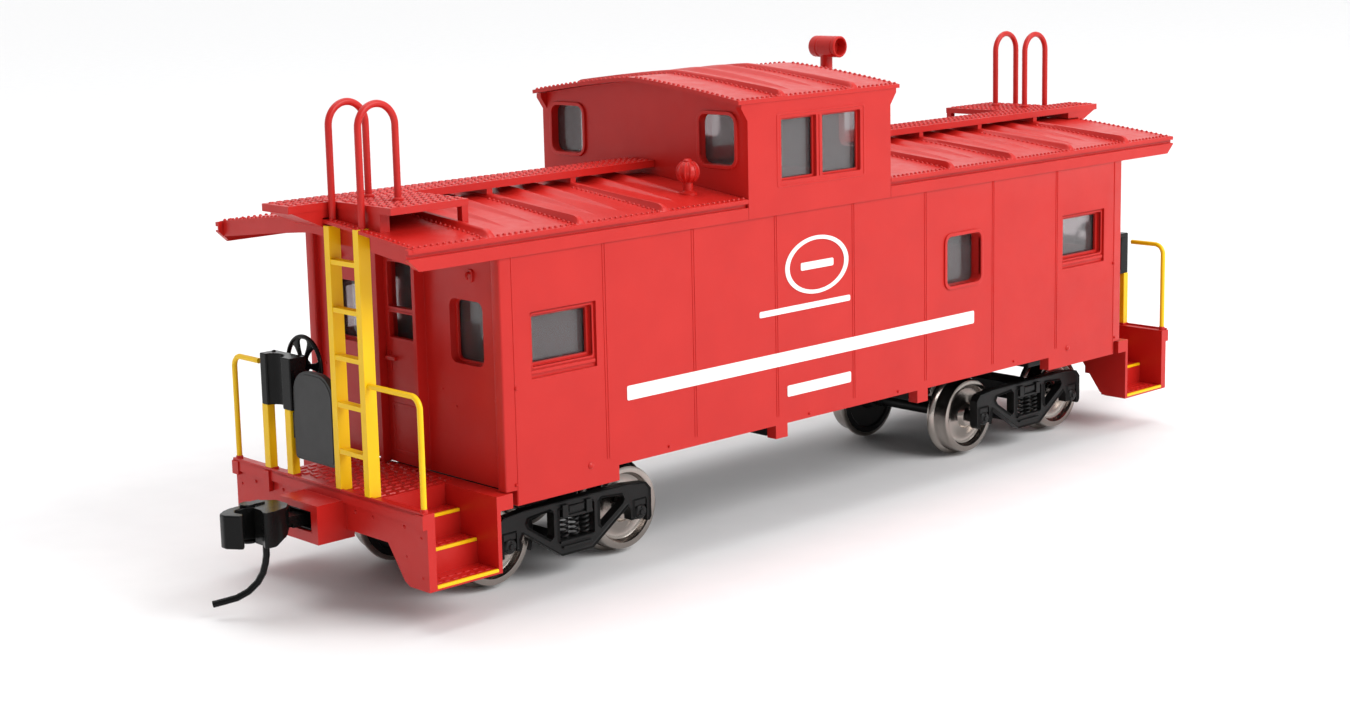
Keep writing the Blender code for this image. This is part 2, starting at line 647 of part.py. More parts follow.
def make_hand_brake():
    x0, x1 = sorted(-x for x in STAND_X)
    half = POST / 2
    posts = [box(x0, x1, y - half, y + half, DECK_Z + GAP, STAND_TOP) for y in POST_Y]
    tie = box(x1 - 0.5, x1 - 0.1, POST_Y[0], POST_Y[1], STAND_TOP - 0.6, STAND_TOP - 0.1)
    both_ends(joined(posts[0], posts[1], tie), "brake_stand", YELLOW)

    back, front = (-x for x in HOUSING_X)
    y0, y1 = HOUSING_Y
    half_width, depth = HOUSING_SCOOP
    middle = (POST_Y[0] + POST_Y[1]) / 2
    scoop = [
        (front + depth * math.sin(a), middle - half_width * math.cos(a))
        for a in (math.pi * k / 8 for k in range(9))
    ]
    outline = [(front, y0)] + scoop + [(front, y1), (back, y1), (back, y0)]
    housing = prism("z", outline, STAND_TOP + GAP, HOUSING_TOP)
    both_ends(housing, "brake_housing", BLACK)

    wheel_x, wheel_y, wheel_z = -BRAKE_WHEEL_AT[0], BRAKE_WHEEL_AT[1], BRAKE_WHEEL_AT[2]
    wheel = cylinder("x", (wheel_x, wheel_y, wheel_z), BRAKE_WHEEL_RADIUS, 0.45, 24)
    out, hole_radius = BRAKE_WHEEL_HOLE
    spoke_count = 6
    for k in range(spoke_count):
        angle = 2 * math.pi * (k + 0.5) / spoke_count
        at = (wheel_x, wheel_y + out * math.cos(angle), wheel_z + out * math.sin(angle))
        cut(wheel, cylinder("x", at, hole_radius, 2.0, 8))
    shaft_start, shaft_end = back + GAP, wheel_x + 0.4
    shaft = cylinder("x", ((shaft_start + shaft_end) / 2, wheel_y, wheel_z), 0.6,
                     shaft_end - shaft_start, 16)
    both_ends(joined(wheel, shaft), "brake_wheel", BLACK, (wheel_x, wheel_y, wheel_z))

    crown = GUARD_CROWN
    y0, y1 = GUARD_Y
    z0, z1 = GUARD_Z
    outline = arc((y1 - crown, z1 - crown), crown, 0, 90, 6)
    outline += arc((y0 + crown, z1 - crown), crown, 90, 180, 6)
    outline += arc((y0 + 0.5, z0 + 0.5), 0.5, 180, 270, 3)
    outline += arc((y1 - 0.5, z0 + 0.5), 0.5, 270, 360, 3)
    guard = prism("x", outline, *sorted(-x for x in GUARD_X))
    lug_x = (-GUARD_X[1] + 0.1, -GUARD_X[0] - 0.1)
    lug = box(*lug_x, y1 - 0.3, POST_Y[0] - half - GAP, 16.6, STAND_TOP - 0.2)
    both_ends(joined(guard, lug), "brake_guard", GREY)


def stair_outline(side):
    """Treads and risers in section, from the lowest tread up to the deck."""
    front = []
    back = []
    for (y, z), (next_y, next_z) in zip(TREADS, TREADS[1:]):
        front += [(y, z), (next_y, z)]
        back += [(y - TREAD, z - TREAD), (next_y - TREAD, z - TREAD)]
    back[0] = (TREADS[0][0], TREADS[0][1] - TREAD)
    top = (TREADS[-1][0], DECK_Z)
    outline = front + [top, (top[0] - TREAD, DECK_Z)] + back[::-1]
    return [(side * y, z) for y, z in outline]


def make_platforms():
    low = DECK_Z - DECK_THICKNESS
    half = BODY_HALF_WIDTH + 0.25
    stair_y = TREADS[-1][0]
    outer = sorted(-x for x in STEP_OUTER)
    inner = sorted(-x for x in STEP_INNER)
    deck = box(-DECK_END, -PLATFORM_START, -stair_y, stair_y, low, DECK_Z)
    front, box_half, box_low, box_high = DRAFT_BOX
    pieces = [
        box(-DECK_END, outer[1], -half, half, low, DECK_Z),
        box(inner[0], -PLATFORM_START, -half, half, low + 0.4, DECK_Z),
        box(*outer, -BEAM_HALF_WIDTH, BEAM_HALF_WIDTH, BEAM_BOTTOM, low + 0.3),
        box(-front, outer[1], -box_half, box_half, box_low, box_high),
        box(-DECK_END - 0.25, -DECK_END + 0.3, POST_Y[1] - 0.4, POST_Y[1] + 0.6, 9.9, DECK_Z - 0.1),
    ]
    for side in (-1, 1):
        profile = [(half, low + 0.5), (half, STEP_BOTTOM), (14.2, STEP_BOTTOM), (13.4, 4.5),
                   (9.9, 9.2), (8.4, 9.4), (8.4, low + 0.5)]
        panel = [(side * y, z) for y, z in profile]
        pieces += [prism("x", panel, *outer), prism("x", panel, *inner)]
        pieces.append(prism("x", stair_outline(side), outer[1] - 0.3, inner[0] + 0.3))
        corner_y = (side * (half - 1.2), side * half)
        pieces.append(box(-DECK_END - 0.15, outer[1], *corner_y, FLAP_Z, DECK_Z - 0.1))
        flap_y = (side * (half - 0.9), side * half)
        pieces.append(box(inner[0], -PLATFORM_START, *flap_y, FLAP_Z, low + 0.6))
    platform = joined(deck, *pieces)
    pocket_y = BOX_HALF_WIDTH + GAP
    cut(platform, box(-front - 1, -60, -pocket_y, pocket_y, BOX_Z[0] - GAP, BOX_Z[1] + GAP))
    both_ends(platform, "end_platform", RED)


def make_underframe():
    deck_under = DECK_Z - DECK_THICKNESS - 0.05
    floor_under = SILL_Z - 0.05
    sill_half, sill_low = 2.6, 8.75
    sill = box(-PLATFORM_START + 0.1, PLATFORM_START - 0.1, -sill_half, sill_half,
               sill_low, floor_under)
    pieces = [box(-PAD_HALF_LENGTH, PAD_HALF_LENGTH, -PAD_HALF_WIDTH, PAD_HALF_WIDTH,
                  PAD_Z, sill_low + 0.5)]
    for end in (-1, 1):
        centre = end * TRUCK_SPACING / 2
        stub = (end * (PLATFORM_START - 1), end * (BOX_X[0] - 0.05))
        pieces.append(box(*stub, -sill_half, sill_half, sill_low, deck_under))
        pieces.append(box(centre - 2.2, centre + 2.2, -14, 14, 10.6, floor_under))
        pieces.append(box(end * TAB_X - 0.9, end * TAB_X + 0.9, -15.6, 15.6, 10.9, floor_under))
    frame = joined(sill, *pieces)
    for end in (-1, 1):
        cut(frame, cylinder("z", (end * TRUCK_SPACING / 2, 0, 8.6), 1.0, 5.0, 20))
    part(frame, "underframe", BLACK)

    inner_x = BODY_HALF_LENGTH - WALL - 0.05
    inner_y = BODY_HALF_WIDTH - WALL - 0.05
    part(box(-inner_x, inner_x, -inner_y, inner_y, SILL_Z, 13.3), "floor_pan", BLACK)
    part(box(-38, 38, -13, 13, 13.35, 15.0), "steel_weight", STEEL)

    tank_z = 10.0
    tank_y = 13.0
    tank = cylinder("x", (-21.0, tank_y, tank_z), 1.8, 12.0, 16)
    straps = [
        box(x - 0.5, x + 0.5, tank_y - 0.8, tank_y + 0.8, tank_z, floor_under)
        for x in (-24.5, -17.5)
    ]
    joined(tank, *straps)
    part(tank, "air_reservoir", BLACK, smooth=True)
    brake_y = 9.0
    brake = cylinder("x", (19.5, brake_y, tank_z), 1.9, 6.0, 20)
    joined(brake, cylinder("x", (24.5, brake_y, tank_z), 0.6, 6.0, 12),
           box(17.5, 21.5, brake_y - 0.8, brake_y + 0.8, tank_z, floor_under))
    part(brake, "brake_cylinder", BLACK, smooth=True)


def mirrored(half_outline):
    """A closed outline from its right half, listed from the bottom up."""
    return half_outline + [(-x, z) for x, z in reversed(half_outline)]


def make_truck(name, centre_x):
    pivot = bpy.data.objects.new(name + "_pivot", None)
    PARTS.objects.link(pivot)
    pivot.parent = RAIL_TOP_EMPTY
    pivot.location = (centre_x * MM, 0, BOLSTER_TOP * MM)
    at = centre_x
    journal = WHEELBASE / 2
    inner, outer = SIDEFRAME_Y
    outline = mirrored([
        (2.4, 2.2), (journal - 1.5, 6.1), (journal - 1.5, 4.0), (journal - 1.1, 3.6),
        (journal + 1.2, 3.6), (journal + 1.6, 4.0), (journal + 1.6, 7.3), (journal + 0.9, 8.1),
        (7.6, 8.4),
    ])
    window = [(3.4, 7.4), (3.4, 4.7), (4.0, 4.4), (6.9, 6.4), (7.1, 7.2), (6.6, 7.7), (3.8, 7.7)]
    spring_gap = [(-2.55, 3.9), (2.55, 3.9), (2.55, 7.6), (-2.55, 7.6)]
    rings = [window, [(-x, z) for x, z in window], spring_gap]
    rings = [[(at + x, z) for x, z in ring] for ring in rings]
    sides = [
        prism("y", [(at + x, z) for x, z in outline], *sorted((side * inner, side * outer)), rings)
        for side in (-1, 1)
    ]
    frame = box(at - 2.1, at + 2.1, -inner - 0.9, inner + 0.9, 6.45, BOLSTER_TOP)
    joined(frame, *sides, cylinder("z", (at, 0, 8.1), 2.4, 0.9, 24),
           box(at - 1.6, at + 1.6, -inner - 0.9, inner + 0.9, 2.6, 3.25))
    for side in (-1, 1):
        for step in (-journal, journal):
            bearing = (at + step, side * inner, TREAD_RADIUS)
            cut(frame, cylinder("y", bearing, 0.95, 2 * (AXLE_HALF_LENGTH + 0.15 - inner), 16))
    cut(frame, cylinder("z", (at, 0, 8.0), 1.15, 8.0, 20))
    part(frame, name, BLACK, (at, 0, BOLSTER_TOP), pivot)
    return pivot


def make_truck_screw():
    profile = [(0, 10.4), (0.9, 10.4), (0.9, 6.35), (1.7, 6.35), (1.7, 5.7), (0, 5.7)]
    both_ends(lathe(profile, "z", (-TRUCK_SPACING / 2, 0, 0), 20), "truck_screw", STEEL, smooth=True)


def wheelset_profile():
    outer = [
        (0, AXLE_HALF_LENGTH), (0.78, 11.5), (0.78, WHEEL_FACE), (1.5, WHEEL_FACE - 0.2),
        (3.7, 9.4), (4.1, WHEEL_FACE), (TREAD_RADIUS, WHEEL_FACE), (TREAD_RADIUS + 0.05, 8.1),
        (TREAD_RADIUS + FLANGE_DEPTH, 7.6), (TREAD_RADIUS + 0.45, WHEEL_BACK), (1.2, WHEEL_BACK),
    ]
    return outer + [(radius, -y) for radius, y in reversed(outer)]


def make_wheelset(name, x, parent):
    shape = lathe(wheelset_profile(), "y", (x, 0, TREAD_RADIUS), 20)
    part(shape, name, STEEL, (x, 0, TREAD_RADIUS), parent, smooth=True)


def make_couplers():
    mid = COUPLER_Z
    half = BOX_HALF_WIDTH
    back, front = BOX_X
    wall = 0.3
    pocket = box(-front, -back, -half, half, *BOX_Z)
    cut(pocket, box(-front - 1, -back - wall, -half + wall, half - wall,
                    BOX_Z[0] + wall, BOX_Z[1] - wall))
    shank_mid = (SHANK_Z[0] + SHANK_Z[1]) / 2
    joined(pocket, cylinder("z", (-COUPLER_PIVOT, 0, shank_mid), 0.7, BOX_Z[1] - BOX_Z[0] - wall, 20))
    both_ends(pocket, "coupler_box", BLACK)

    pivot = (-COUPLER_PIVOT, 0, mid)
    bore = (-COUPLER_PIVOT, 0, shank_mid)
    casting = cylinder("z", bore, 1.5, SHANK_Z[1] - SHANK_Z[0], 24)
    shank = box(-71.2, -COUPLER_PIVOT - 0.9, -0.9, 0.9, *SHANK_Z)
    pin_x, pin_y = -KNUCKLE_PIN[0], KNUCKLE_PIN[1]
    head = [
        (-70.6, 1.1), (-70.6, -1.1), (-71.6, -2.2), (-73.2, -2.7), (-74.4, -2.65), (-74.5, -2.3),
        (-74.1, -1.2), (-74.1, 0.1), (-73.0, 0.4), (-72.85, 2.35), (-71.9, 2.35),
    ]
    head_low, head_high = mid - HEAD_HALF_HEIGHT, mid + HEAD_HALF_HEIGHT
    lugs = []
    for side in (-1, 1):
        inner = mid + side * (KNUCKLE_HALF_HEIGHT + GAP)
        outer = inner + side * 0.25
        lugs.append(cylinder("z", (pin_x, pin_y, (inner + outer) / 2), 0.85, 0.25, 20))
        lugs.append(box(pin_x, -72.2, pin_y - 0.75, pin_y + 0.5, inner, outer))
    trip = [(-72.9, 0.0, mid), (-72.9, 0.0, 7.0), (-72.85, 0.1, 6.3), (-72.9, 0.3, 5.35),
            (-73.1, 0.55, 4.3), (-73.5, 1.0, 3.27), (-74.25, 1.7, 2.28), (-75.2, 2.5, 1.62),
            (-76.3, 3.3, 1.3), (-77.3, 4.0, 1.05)]
    joined(casting, shank, prism("z", head, head_low, head_high), *lugs,
           tube(trip, TRIP_PIN_RADIUS))
    sloping_underside = [(-73.4, head_low - 1), (-73.4, head_low), (-70, mid - 0.4), (-70, head_low - 1)]
    cut(casting, prism("y", sloping_underside, -4, -0.45))
    cut(casting, cylinder("z", bore, 0.8, 6.0, 20))
    first, second = both_ends(casting, "coupler", BLACK, pivot)

    hook = arc((pin_x, pin_y), 0.82, -60, 90, 8)
    hook += [(-74.8, 2.4), (-75.8, 2.3), (-76.75, 1.9), (-77.5, 1.3), (-77.75, 0.9),
             (-77.75, 0.1), (-76.75, -1.3), (-76.4, -1.35), (-75.95, -0.75), (-76.25, 0.35),
             (-75.8, 1.0), (-74.7, 1.2)]
    knuckle = prism("z", hook, mid - KNUCKLE_HALF_HEIGHT, mid + KNUCKLE_HALF_HEIGHT)
    knuckle_a = part(knuckle, "knuckle_a", BLACK, (pin_x, pin_y, mid), first)
    knuckle_b = turned_copy(knuckle_a, "knuckle_b", None)
    knuckle_b.parent = second
    knuckle_b.location = knuckle_a.location
    knuckle_b.rotation_euler = (0, 0, 0)

    screw = [(0, 8.25), (0.8, 8.25), (1.2, 8.0), (1.2, 7.7), (0, 7.7)]
    both_ends(lathe(screw, "z", (-COUPLER_PIVOT, 0, 0), 16), "coupler_box_screw", STEEL, smooth=True)


def main():
    make_body_shell()
    make_doors()
    make_glazing()
    make_main_roof()
    make_cupola()
    make_roof_fittings()
    make_running_boards()
    make_ladder()
    make_grab_loops()
    make_corner_rails()
    make_hand_brake()
    make_platforms()
    make_underframe()
    make_couplers()
    make_truck_screw()
    for letter, end in (("a", -1), ("b", 1)):
        centre = end * TRUCK_SPACING / 2
        pivot = make_truck("truck_" + letter, centre)
        for number, offset in ((1, -WHEELBASE / 2), (2, WHEELBASE / 2)):
            make_wheelset(f"wheelset_{letter}{number}", centre + offset, pivot)


main()
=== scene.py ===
"""Looks of the HO scale caboose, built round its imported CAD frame.

Lengths are in millimetres and heights are counted from the top of the rail, as in the CAD source:
RAIL is how far the rail top lies above the ground. X runs along the car and the A end is at -X.
Pieces of the A end are built there, and the B end is the same piece turned half round about Z.
"""

import math

import bmesh
import bpy
from mathutils import Matrix, Vector


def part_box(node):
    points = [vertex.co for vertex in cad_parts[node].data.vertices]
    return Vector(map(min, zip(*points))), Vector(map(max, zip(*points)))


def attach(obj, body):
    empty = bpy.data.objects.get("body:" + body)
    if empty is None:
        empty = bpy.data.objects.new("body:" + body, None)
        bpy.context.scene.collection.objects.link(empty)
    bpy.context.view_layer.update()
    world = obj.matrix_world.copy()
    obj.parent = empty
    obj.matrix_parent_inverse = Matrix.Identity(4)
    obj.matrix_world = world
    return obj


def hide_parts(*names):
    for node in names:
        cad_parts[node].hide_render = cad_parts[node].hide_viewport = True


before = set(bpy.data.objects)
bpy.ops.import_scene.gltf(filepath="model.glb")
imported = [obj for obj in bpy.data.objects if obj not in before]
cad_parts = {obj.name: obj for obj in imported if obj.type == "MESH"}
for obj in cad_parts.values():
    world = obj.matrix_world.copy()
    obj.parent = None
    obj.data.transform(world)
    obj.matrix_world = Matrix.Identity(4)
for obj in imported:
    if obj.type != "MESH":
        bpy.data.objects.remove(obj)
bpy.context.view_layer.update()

MM = 0.001
RAIL = 0.65


def span(node):
    """A CAD node's box as (x0, x1, y0, y1, z0, z1), in millimetres above the rail."""
    low, high = (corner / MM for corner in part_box(node))
    return low.x, high.x, low.y, high.y, low.z - RAIL, high.z - RAIL


DOOR_FRAME_DEPTH = 1.3
BODY_X, BODY_Y = span("body_shell")[1] - DOOR_FRAME_DEPTH, span("body_shell")[3]
SILL_Z = 12.4
FASCIA_Z = span("main_roof_a")[4]
SEAM_PITCH = 13.3
CORNER_SEAM_X = 52.7

ROOF_END = 65.3
ROOF_HALF = span("main_roof_a")[3]
EAVE_Z = 39.2
CUPOLA_X = (-17.9, 6.55)
CUPOLA_ROOF_X = span("cupola_roof")[:2]
CUPOLA_ROOF_HALF = span("cupola_roof")[3]
CUPOLA_EAVE_Z = 50.4
RIB_PITCH = 12.28

DECK_Z = 12.3
BOARD_TOP = 42.8
BOARD_END = span("running_board_b")[1]
LOOP_RADIUS = 0.38
CORNER_RAIL = (-64.85, 16.9)
RAIL_RADIUS = 0.31
BEAM_FACE = -65.0

TREAD_RADIUS = 4.81
WHEELBASE = 19.2
TRUCK_X = 40.6


# ---- Mesh helpers ----------------------------------------------------------------------------

def turned(bm, angle):
    bmesh.ops.rotate(bm, cent=(0, 0, 0), matrix=Matrix.Rotation(angle, 3, "Z"), verts=bm.verts)
    return bm


def add_box(bm, x0, x1, y0, y1, z0, z1):
    verts = bmesh.ops.create_cube(bm, size=1)["verts"]
    bmesh.ops.scale(bm, vec=(abs(x1 - x0), abs(y1 - y0), abs(z1 - z0)), verts=verts)
    bmesh.ops.translate(bm, vec=((x0 + x1) / 2, (y0 + y1) / 2, (z0 + z1) / 2), verts=verts)
    return verts


def on_axis(axis, u, v, w):
    """A point from two coordinates of an outline and one along the extrusion's axis."""
    return {"x": (w, u, v), "y": (u, w, v), "z": (u, v, w)}[axis]


def add_prism(bm, axis, rings, low, high):
    """An outline, with any holes, extruded along an axis. Returns the faces at the high end."""
    edges = []
    for ring in rings:
        verts = [bm.verts.new(on_axis(axis, u, v, low)) for u, v in ring]
        edges += [bm.edges.new(pair) for pair in zip(verts, verts[1:] + verts[:1])]
    if len(rings) == 1:
        faces = [bm.faces.new(verts)]
    else:
        filled = bmesh.ops.triangle_fill(bm, use_beauty=True, use_dissolve=False, edges=edges)
        faces = [item for item in filled["geom"] if isinstance(item, bmesh.types.BMFace)]
    grown = bmesh.ops.extrude_face_region(bm, geom=faces)["geom"]
    moved = [item for item in grown if isinstance(item, bmesh.types.BMVert)]
    bmesh.ops.translate(bm, vec=on_axis(axis, 0, 0, high - low), verts=moved)
    return [item for item in grown if isinstance(item, bmesh.types.BMFace)]


def add_rings(bm, rings, closed=False):
    """Joins loops of points with quads. A loop of one point is a pole."""
    made = [[bm.verts.new(point) for point in ring] for ring in rings]
    pairs = list(zip(made, made[1:]))
    if closed:
        pairs.append((made[-1], made[0]))
    for near, far in pairs:
        count = max(len(near), len(far))
        for k in range(count):
            corners = [near[k % len(near)], near[(k + 1) % len(near)],
                       far[(k + 1) % len(far)], far[k % len(far)]]
            corners = list(dict.fromkeys(corners))
            bm.faces.new(corners)
    return made


def add_lathe(bm, profile, axis, centre, steps=48, closed=False):
    """A turned solid. The profile is (radius, place along the axis), pole to pole or closed."""
    rings = []
    for radius, height in profile:
        count = 1 if radius < 1e-6 else steps
        angles = [2 * math.pi * k / steps for k in range(count)]
        rings.append([
            Vector(centre)
            + Vector(on_axis(axis, radius * math.cos(a), radius * math.sin(a), height))
            for a in angles
        ])
    return add_rings(bm, rings, closed)


def add_tube(bm, points, radius, sides=14, closed=False):
    """A round wire through the points, its frame carried along without twist."""
    path = [Vector(point) for point in points]
    count = len(path)
    ahead = [path[(k + 1) % count] if closed else path[min(k + 1, count - 1)] for k in range(count)]
    behind = [path[k - 1] if closed else path[max(k - 1, 0)] for k in range(count)]
    tangents = [(a - b).normalized() for a, b in zip(ahead, behind)]
    normal = tangents[0].orthogonal().normalized()
    rings = []
    for place, tangent in zip(path, tangents):
        normal = (normal - tangent * normal.dot(tangent)).normalized()
        side = tangent.cross(normal)
        angles = [2 * math.pi * k / sides for k in range(sides)]
        rings.append([place + radius * (math.cos(a) * normal + math.sin(a) * side) for a in angles])
    made = add_rings(bm, rings, closed)
    if not closed:
        bm.faces.new(made[0])
        bm.faces.new(made[-1])


DOME_SIDES = 8


def add_dome(bm, place, normal, radius, height):
    """A rivet or bolt head: its foot is sunk a little into what it stands on."""
    normal = Vector(normal).normalized()
    u = normal.orthogonal().normalized()
    v = normal.cross(u)
    rings = []
    for share, level in ((1.0, -0.3 * height), (0.95, 0.25 * height), (0.6, 0.8 * height)):
        angles = [2 * math.pi * k / DOME_SIDES for k in range(DOME_SIDES)]
        rings.append([
            Vector(place) + normal * level + radius * share * (math.cos(a) * u + math.sin(a) * v)
            for a in angles
        ])
    rings.append([Vector(place) + normal * height])
    made = add_rings(bm, rings)
    bm.faces.new(made[0])


def arc(centre, radius, start, end, count):
    angles = [math.radians(start + (end - start) * k / count) for k in range(count + 1)]
    return [(centre[0] + radius * math.cos(a), centre[1] + radius * math.sin(a)) for a in angles]


def rounded(u0, u1, v0, v1, radius, count=6):
    """A rectangle with round corners."""
    points = []
    for u, v, start in (
        (u1 - radius, v1 - radius, 0), (u0 + radius, v1 - radius, 90),
        (u0 + radius, v0 + radius, 180), (u1 - radius, v0 + radius, 270),
    ):
        points += arc((u, v), radius, start, start + 90, count)
    return points


def ring_outline(u0, u1, v0, v1, radius, width):
    """A rounded opening and the band round it, for add_prism."""
    outer = rounded(u0 - width, u1 + width, v0 - width, v1 + width, radius + width)
    return [outer, rounded(u0, u1, v0, v1, radius)]


def steps_between(start, end, pitch):
    """Evenly spaced places from start to end, about a pitch apart."""
    count = max(1, round(abs(end - start) / pitch))
    return [start + (end - start) * (k + 0.5) / count for k in range(count)]


def from_cad(node):
    """A CAD node's own shape with its flat faces made whole, ready for finer edges."""
    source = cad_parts[node].data
    bm = bmesh.new()
    verts = [bm.verts.new((v.co.x / MM, v.co.y / MM, v.co.z / MM - RAIL)) for v in source.vertices]
    for polygon in source.polygons:
        bm.faces.new([verts[k] for k in polygon.vertices])
    bmesh.ops.remove_doubles(bm, verts=bm.verts, dist=0.002)
    bmesh.ops.dissolve_limit(bm, angle_limit=math.radians(1), verts=bm.verts, edges=bm.edges)
    return bm


def piece(name, bm, look, body="car", slot=None, bevel=0.0, segments=2, replaces=(), flat_below=35,
          subdivide=0):
    """Turns a bmesh in millimetres into a piece that rides on a body."""
    bmesh.ops.translate(bm, vec=(0, 0, RAIL), verts=bm.verts)
    bmesh.ops.scale(bm, vec=(MM, MM, MM), verts=bm.verts)
    bmesh.ops.recalc_face_normals(bm, faces=bm.faces)
    mesh = bpy.data.meshes.new(name)
    bm.to_mesh(mesh)
    bm.free()
    mesh.materials.append(look)
    mesh.shade_smooth()
    mesh.set_sharp_from_angle(angle=math.radians(flat_below))
    obj = bpy.data.objects.new(name, mesh)
    bpy.context.scene.collection.objects.link(obj)
    if subdivide:
        smooth = obj.modifiers.new("rounding", "SUBSURF")
        smooth.levels = smooth.render_levels = subdivide
    if bevel:
        edge = obj.modifiers.new("soft_edges", "BEVEL")
        edge.width = bevel * MM
        edge.segments = segments
        edge.limit_method = "ANGLE"
        edge.angle_limit = math.radians(flat_below)
        edge.harden_normals = True
        edge.miter_outer = "MITER_ARC"
    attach(obj, body)
    if replaces:
        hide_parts(*replaces)
    return obj


def both_ends(stem, build, look, body="car", replaces=(), **finish):
    """The piece at the A end and, turned half round, at the B end.

    {} in a name is the end's letter.
    """
    for letter, angle in (("a", 0), ("b", math.pi)):
        piece(f"{stem}_{letter}", turned(build(), angle), look, body.format(letter),
              replaces=[node.format(letter) for node in replaces], **finish)


# ---- Looks -----------------------------------------------------------------------------------

def moulded(name, dark, light, roughness, grain=0.02, grain_pitch=0.25, metallic=0.0,
            specular=0.5, streak=None):
    """Moulded plastic or metal: cloudy colour, uneven gloss and a fine grain in the surface.

    streak stretches the pattern along an axis, as a brushed or a moulded flow line does.
    """
    look = bpy.data.materials.new(name)
    look.use_nodes = True
    nodes, links = look.node_tree.nodes, look.node_tree.links
    shader = nodes["Principled BSDF"]
    shader.inputs["Metallic"].default_value = metallic
    shader.inputs["Specular IOR Level"].default_value = specular
    place = nodes.new("ShaderNodeTexCoord")
    stretch = nodes.new("ShaderNodeMapping")
    stretch.inputs["Scale"].default_value = streak or (1, 1, 1)
    links.new(place.outputs["Object"], stretch.inputs["Vector"])

    def noise(pitch, detail):
        made = nodes.new("ShaderNodeTexNoise")
        made.inputs["Scale"].default_value = 1 / (pitch * MM)
        made.inputs["Detail"].default_value = detail
        links.new(stretch.outputs["Vector"], made.inputs["Vector"])
        return made.outputs["Fac"]

    cloud = noise(6.0, 4.0)
    tint = nodes.new("ShaderNodeValToRGB")
    tint.color_ramp.elements[0].position, tint.color_ramp.elements[1].position = 0.3, 0.7
    tint.color_ramp.elements[0].color = (*dark, 1)
    tint.color_ramp.elements[1].color = (*light, 1)
    links.new(cloud, tint.inputs["Fac"])
    links.new(tint.outputs["Color"], shader.inputs["Base Color"])

    gloss = nodes.new("ShaderNodeMapRange")
    gloss.inputs["From Min"].default_value, gloss.inputs["From Max"].default_value = 0.3, 0.7
    gloss.inputs["To Min"].default_value = roughness - 0.05
    gloss.inputs["To Max"].default_value = roughness + 0.06
    links.new(noise(1.4, 6.0), gloss.inputs["Value"])
    links.new(gloss.outputs["Result"], shader.inputs["Roughness"])

    bump = nodes.new("ShaderNodeBump")
    bump.inputs["Strength"].default_value = 0.35
    bump.inputs["Distance"].default_value = grain * MM
    links.new(noise(grain_pitch, 3.0), bump.inputs["Height"])
    links.new(bump.outputs["Normal"], shader.inputs["Normal"])
    return look


def glazing():
    """Smoky clear plastic, faintly wavy."""
    look = moulded("smoked_glazing", (0.56, 0.52, 0.53), (0.60, 0.56, 0.57), 0.06, 0.01, 2.5)
    shader = look.node_tree.nodes["Principled BSDF"]
    shader.inputs["Transmission Weight"].default_value = 0.93
    shader.inputs["IOR"].default_value = 1.46
    return look


RED = moulded("caboose_red", (0.46, 0.0115, 0.0085), (0.50, 0.0145, 0.0105), 0.36, specular=0.3)
YELLOW = moulded("safety_yellow", (0.83, 0.50, 0.002), (0.89, 0.55, 0.004), 0.38, specular=0.3)
BLACK = moulded("gloss_black", (0.0035, 0.0035, 0.0035), (0.006, 0.006, 0.006), 0.22, specular=0.14)
CAST_BLACK = moulded("truck_black", (0.005, 0.005, 0.005), (0.010, 0.010, 0.010), 0.34, 0.04, 0.35,
                     specular=0.2)
GREY = moulded("gate_grey", (0.030, 0.030, 0.030), (0.036, 0.036, 0.036), 0.42, specular=0.25)
NICKEL = moulded("nickel_tyre", (0.30, 0.265, 0.24), (0.40, 0.36, 0.33), 0.2, 0.01, 0.15,
                 metallic=1.0, streak=(1, 6, 1))
STEEL = moulded("zinc_steel", (0.42, 0.42, 0.42), (0.52, 0.51, 0.50), 0.3, 0.01, 0.15, metallic=1.0)
WHITE = moulded("white_ink", (0.80, 0.79, 0.77), (0.86, 0.85, 0.83), 0.5, 0.006, 0.1)
GLASS = glazing()


# ---- Body ------------------------------------------------------------------------------------

SIDE_WINDOW = (41.6, 50.0, 25.0, 30.5)
SMALL_WINDOW = (17.3, 24.0, 24.6, 30.8)
END_WINDOW = (7.95, 13.5, 25.0, 31.9)
DOOR_X = -54.0


def make_body():
    piece("body", from_cad("body_shell"), RED, slot="red_plastic", bevel=0.14, segments=3,
          replaces=["body_shell"])

    seams = bmesh.new()
    proud = 0.055
    for side in (-1, 1):
        for k in range(-3, 4):
            for offset in (-0.17, 0.17):
                x = k * SEAM_PITCH + offset
                add_box(seams, x - 0.06, x + 0.06, side * (BODY_Y - 0.2), side * (BODY_Y + proud),
                        SILL_Z + 1.0, FASCIA_Z - 0.05)
        for end in (-1, 1):
            add_box(seams, end * (CORNER_SEAM_X - 0.08), end * (CORNER_SEAM_X + 0.08),
                    side * (BODY_Y - 0.2), side * (BODY_Y + proud), SILL_Z - 1.5, FASCIA_Z - 0.05)
    piece("side_seams", seams, RED, slot="red_plastic", bevel=0.03)

    heads = bmesh.new()
    for side in (-1, 1):
        for end in (-1, 1):
            for x, z, size in ((42.5, 13.1, 0.42), (52.6, 23.2, 0.26), (53.0, 13.0, 0.2),
                               (30.9, 13.1, 0.18), (8.0, 12.9, 0.18)):
                add_dome(heads, (end * x, side * BODY_Y, z), (0, side, 0), size, 0.24)
    piece("side_bolts", heads, RED, slot="red_plastic")


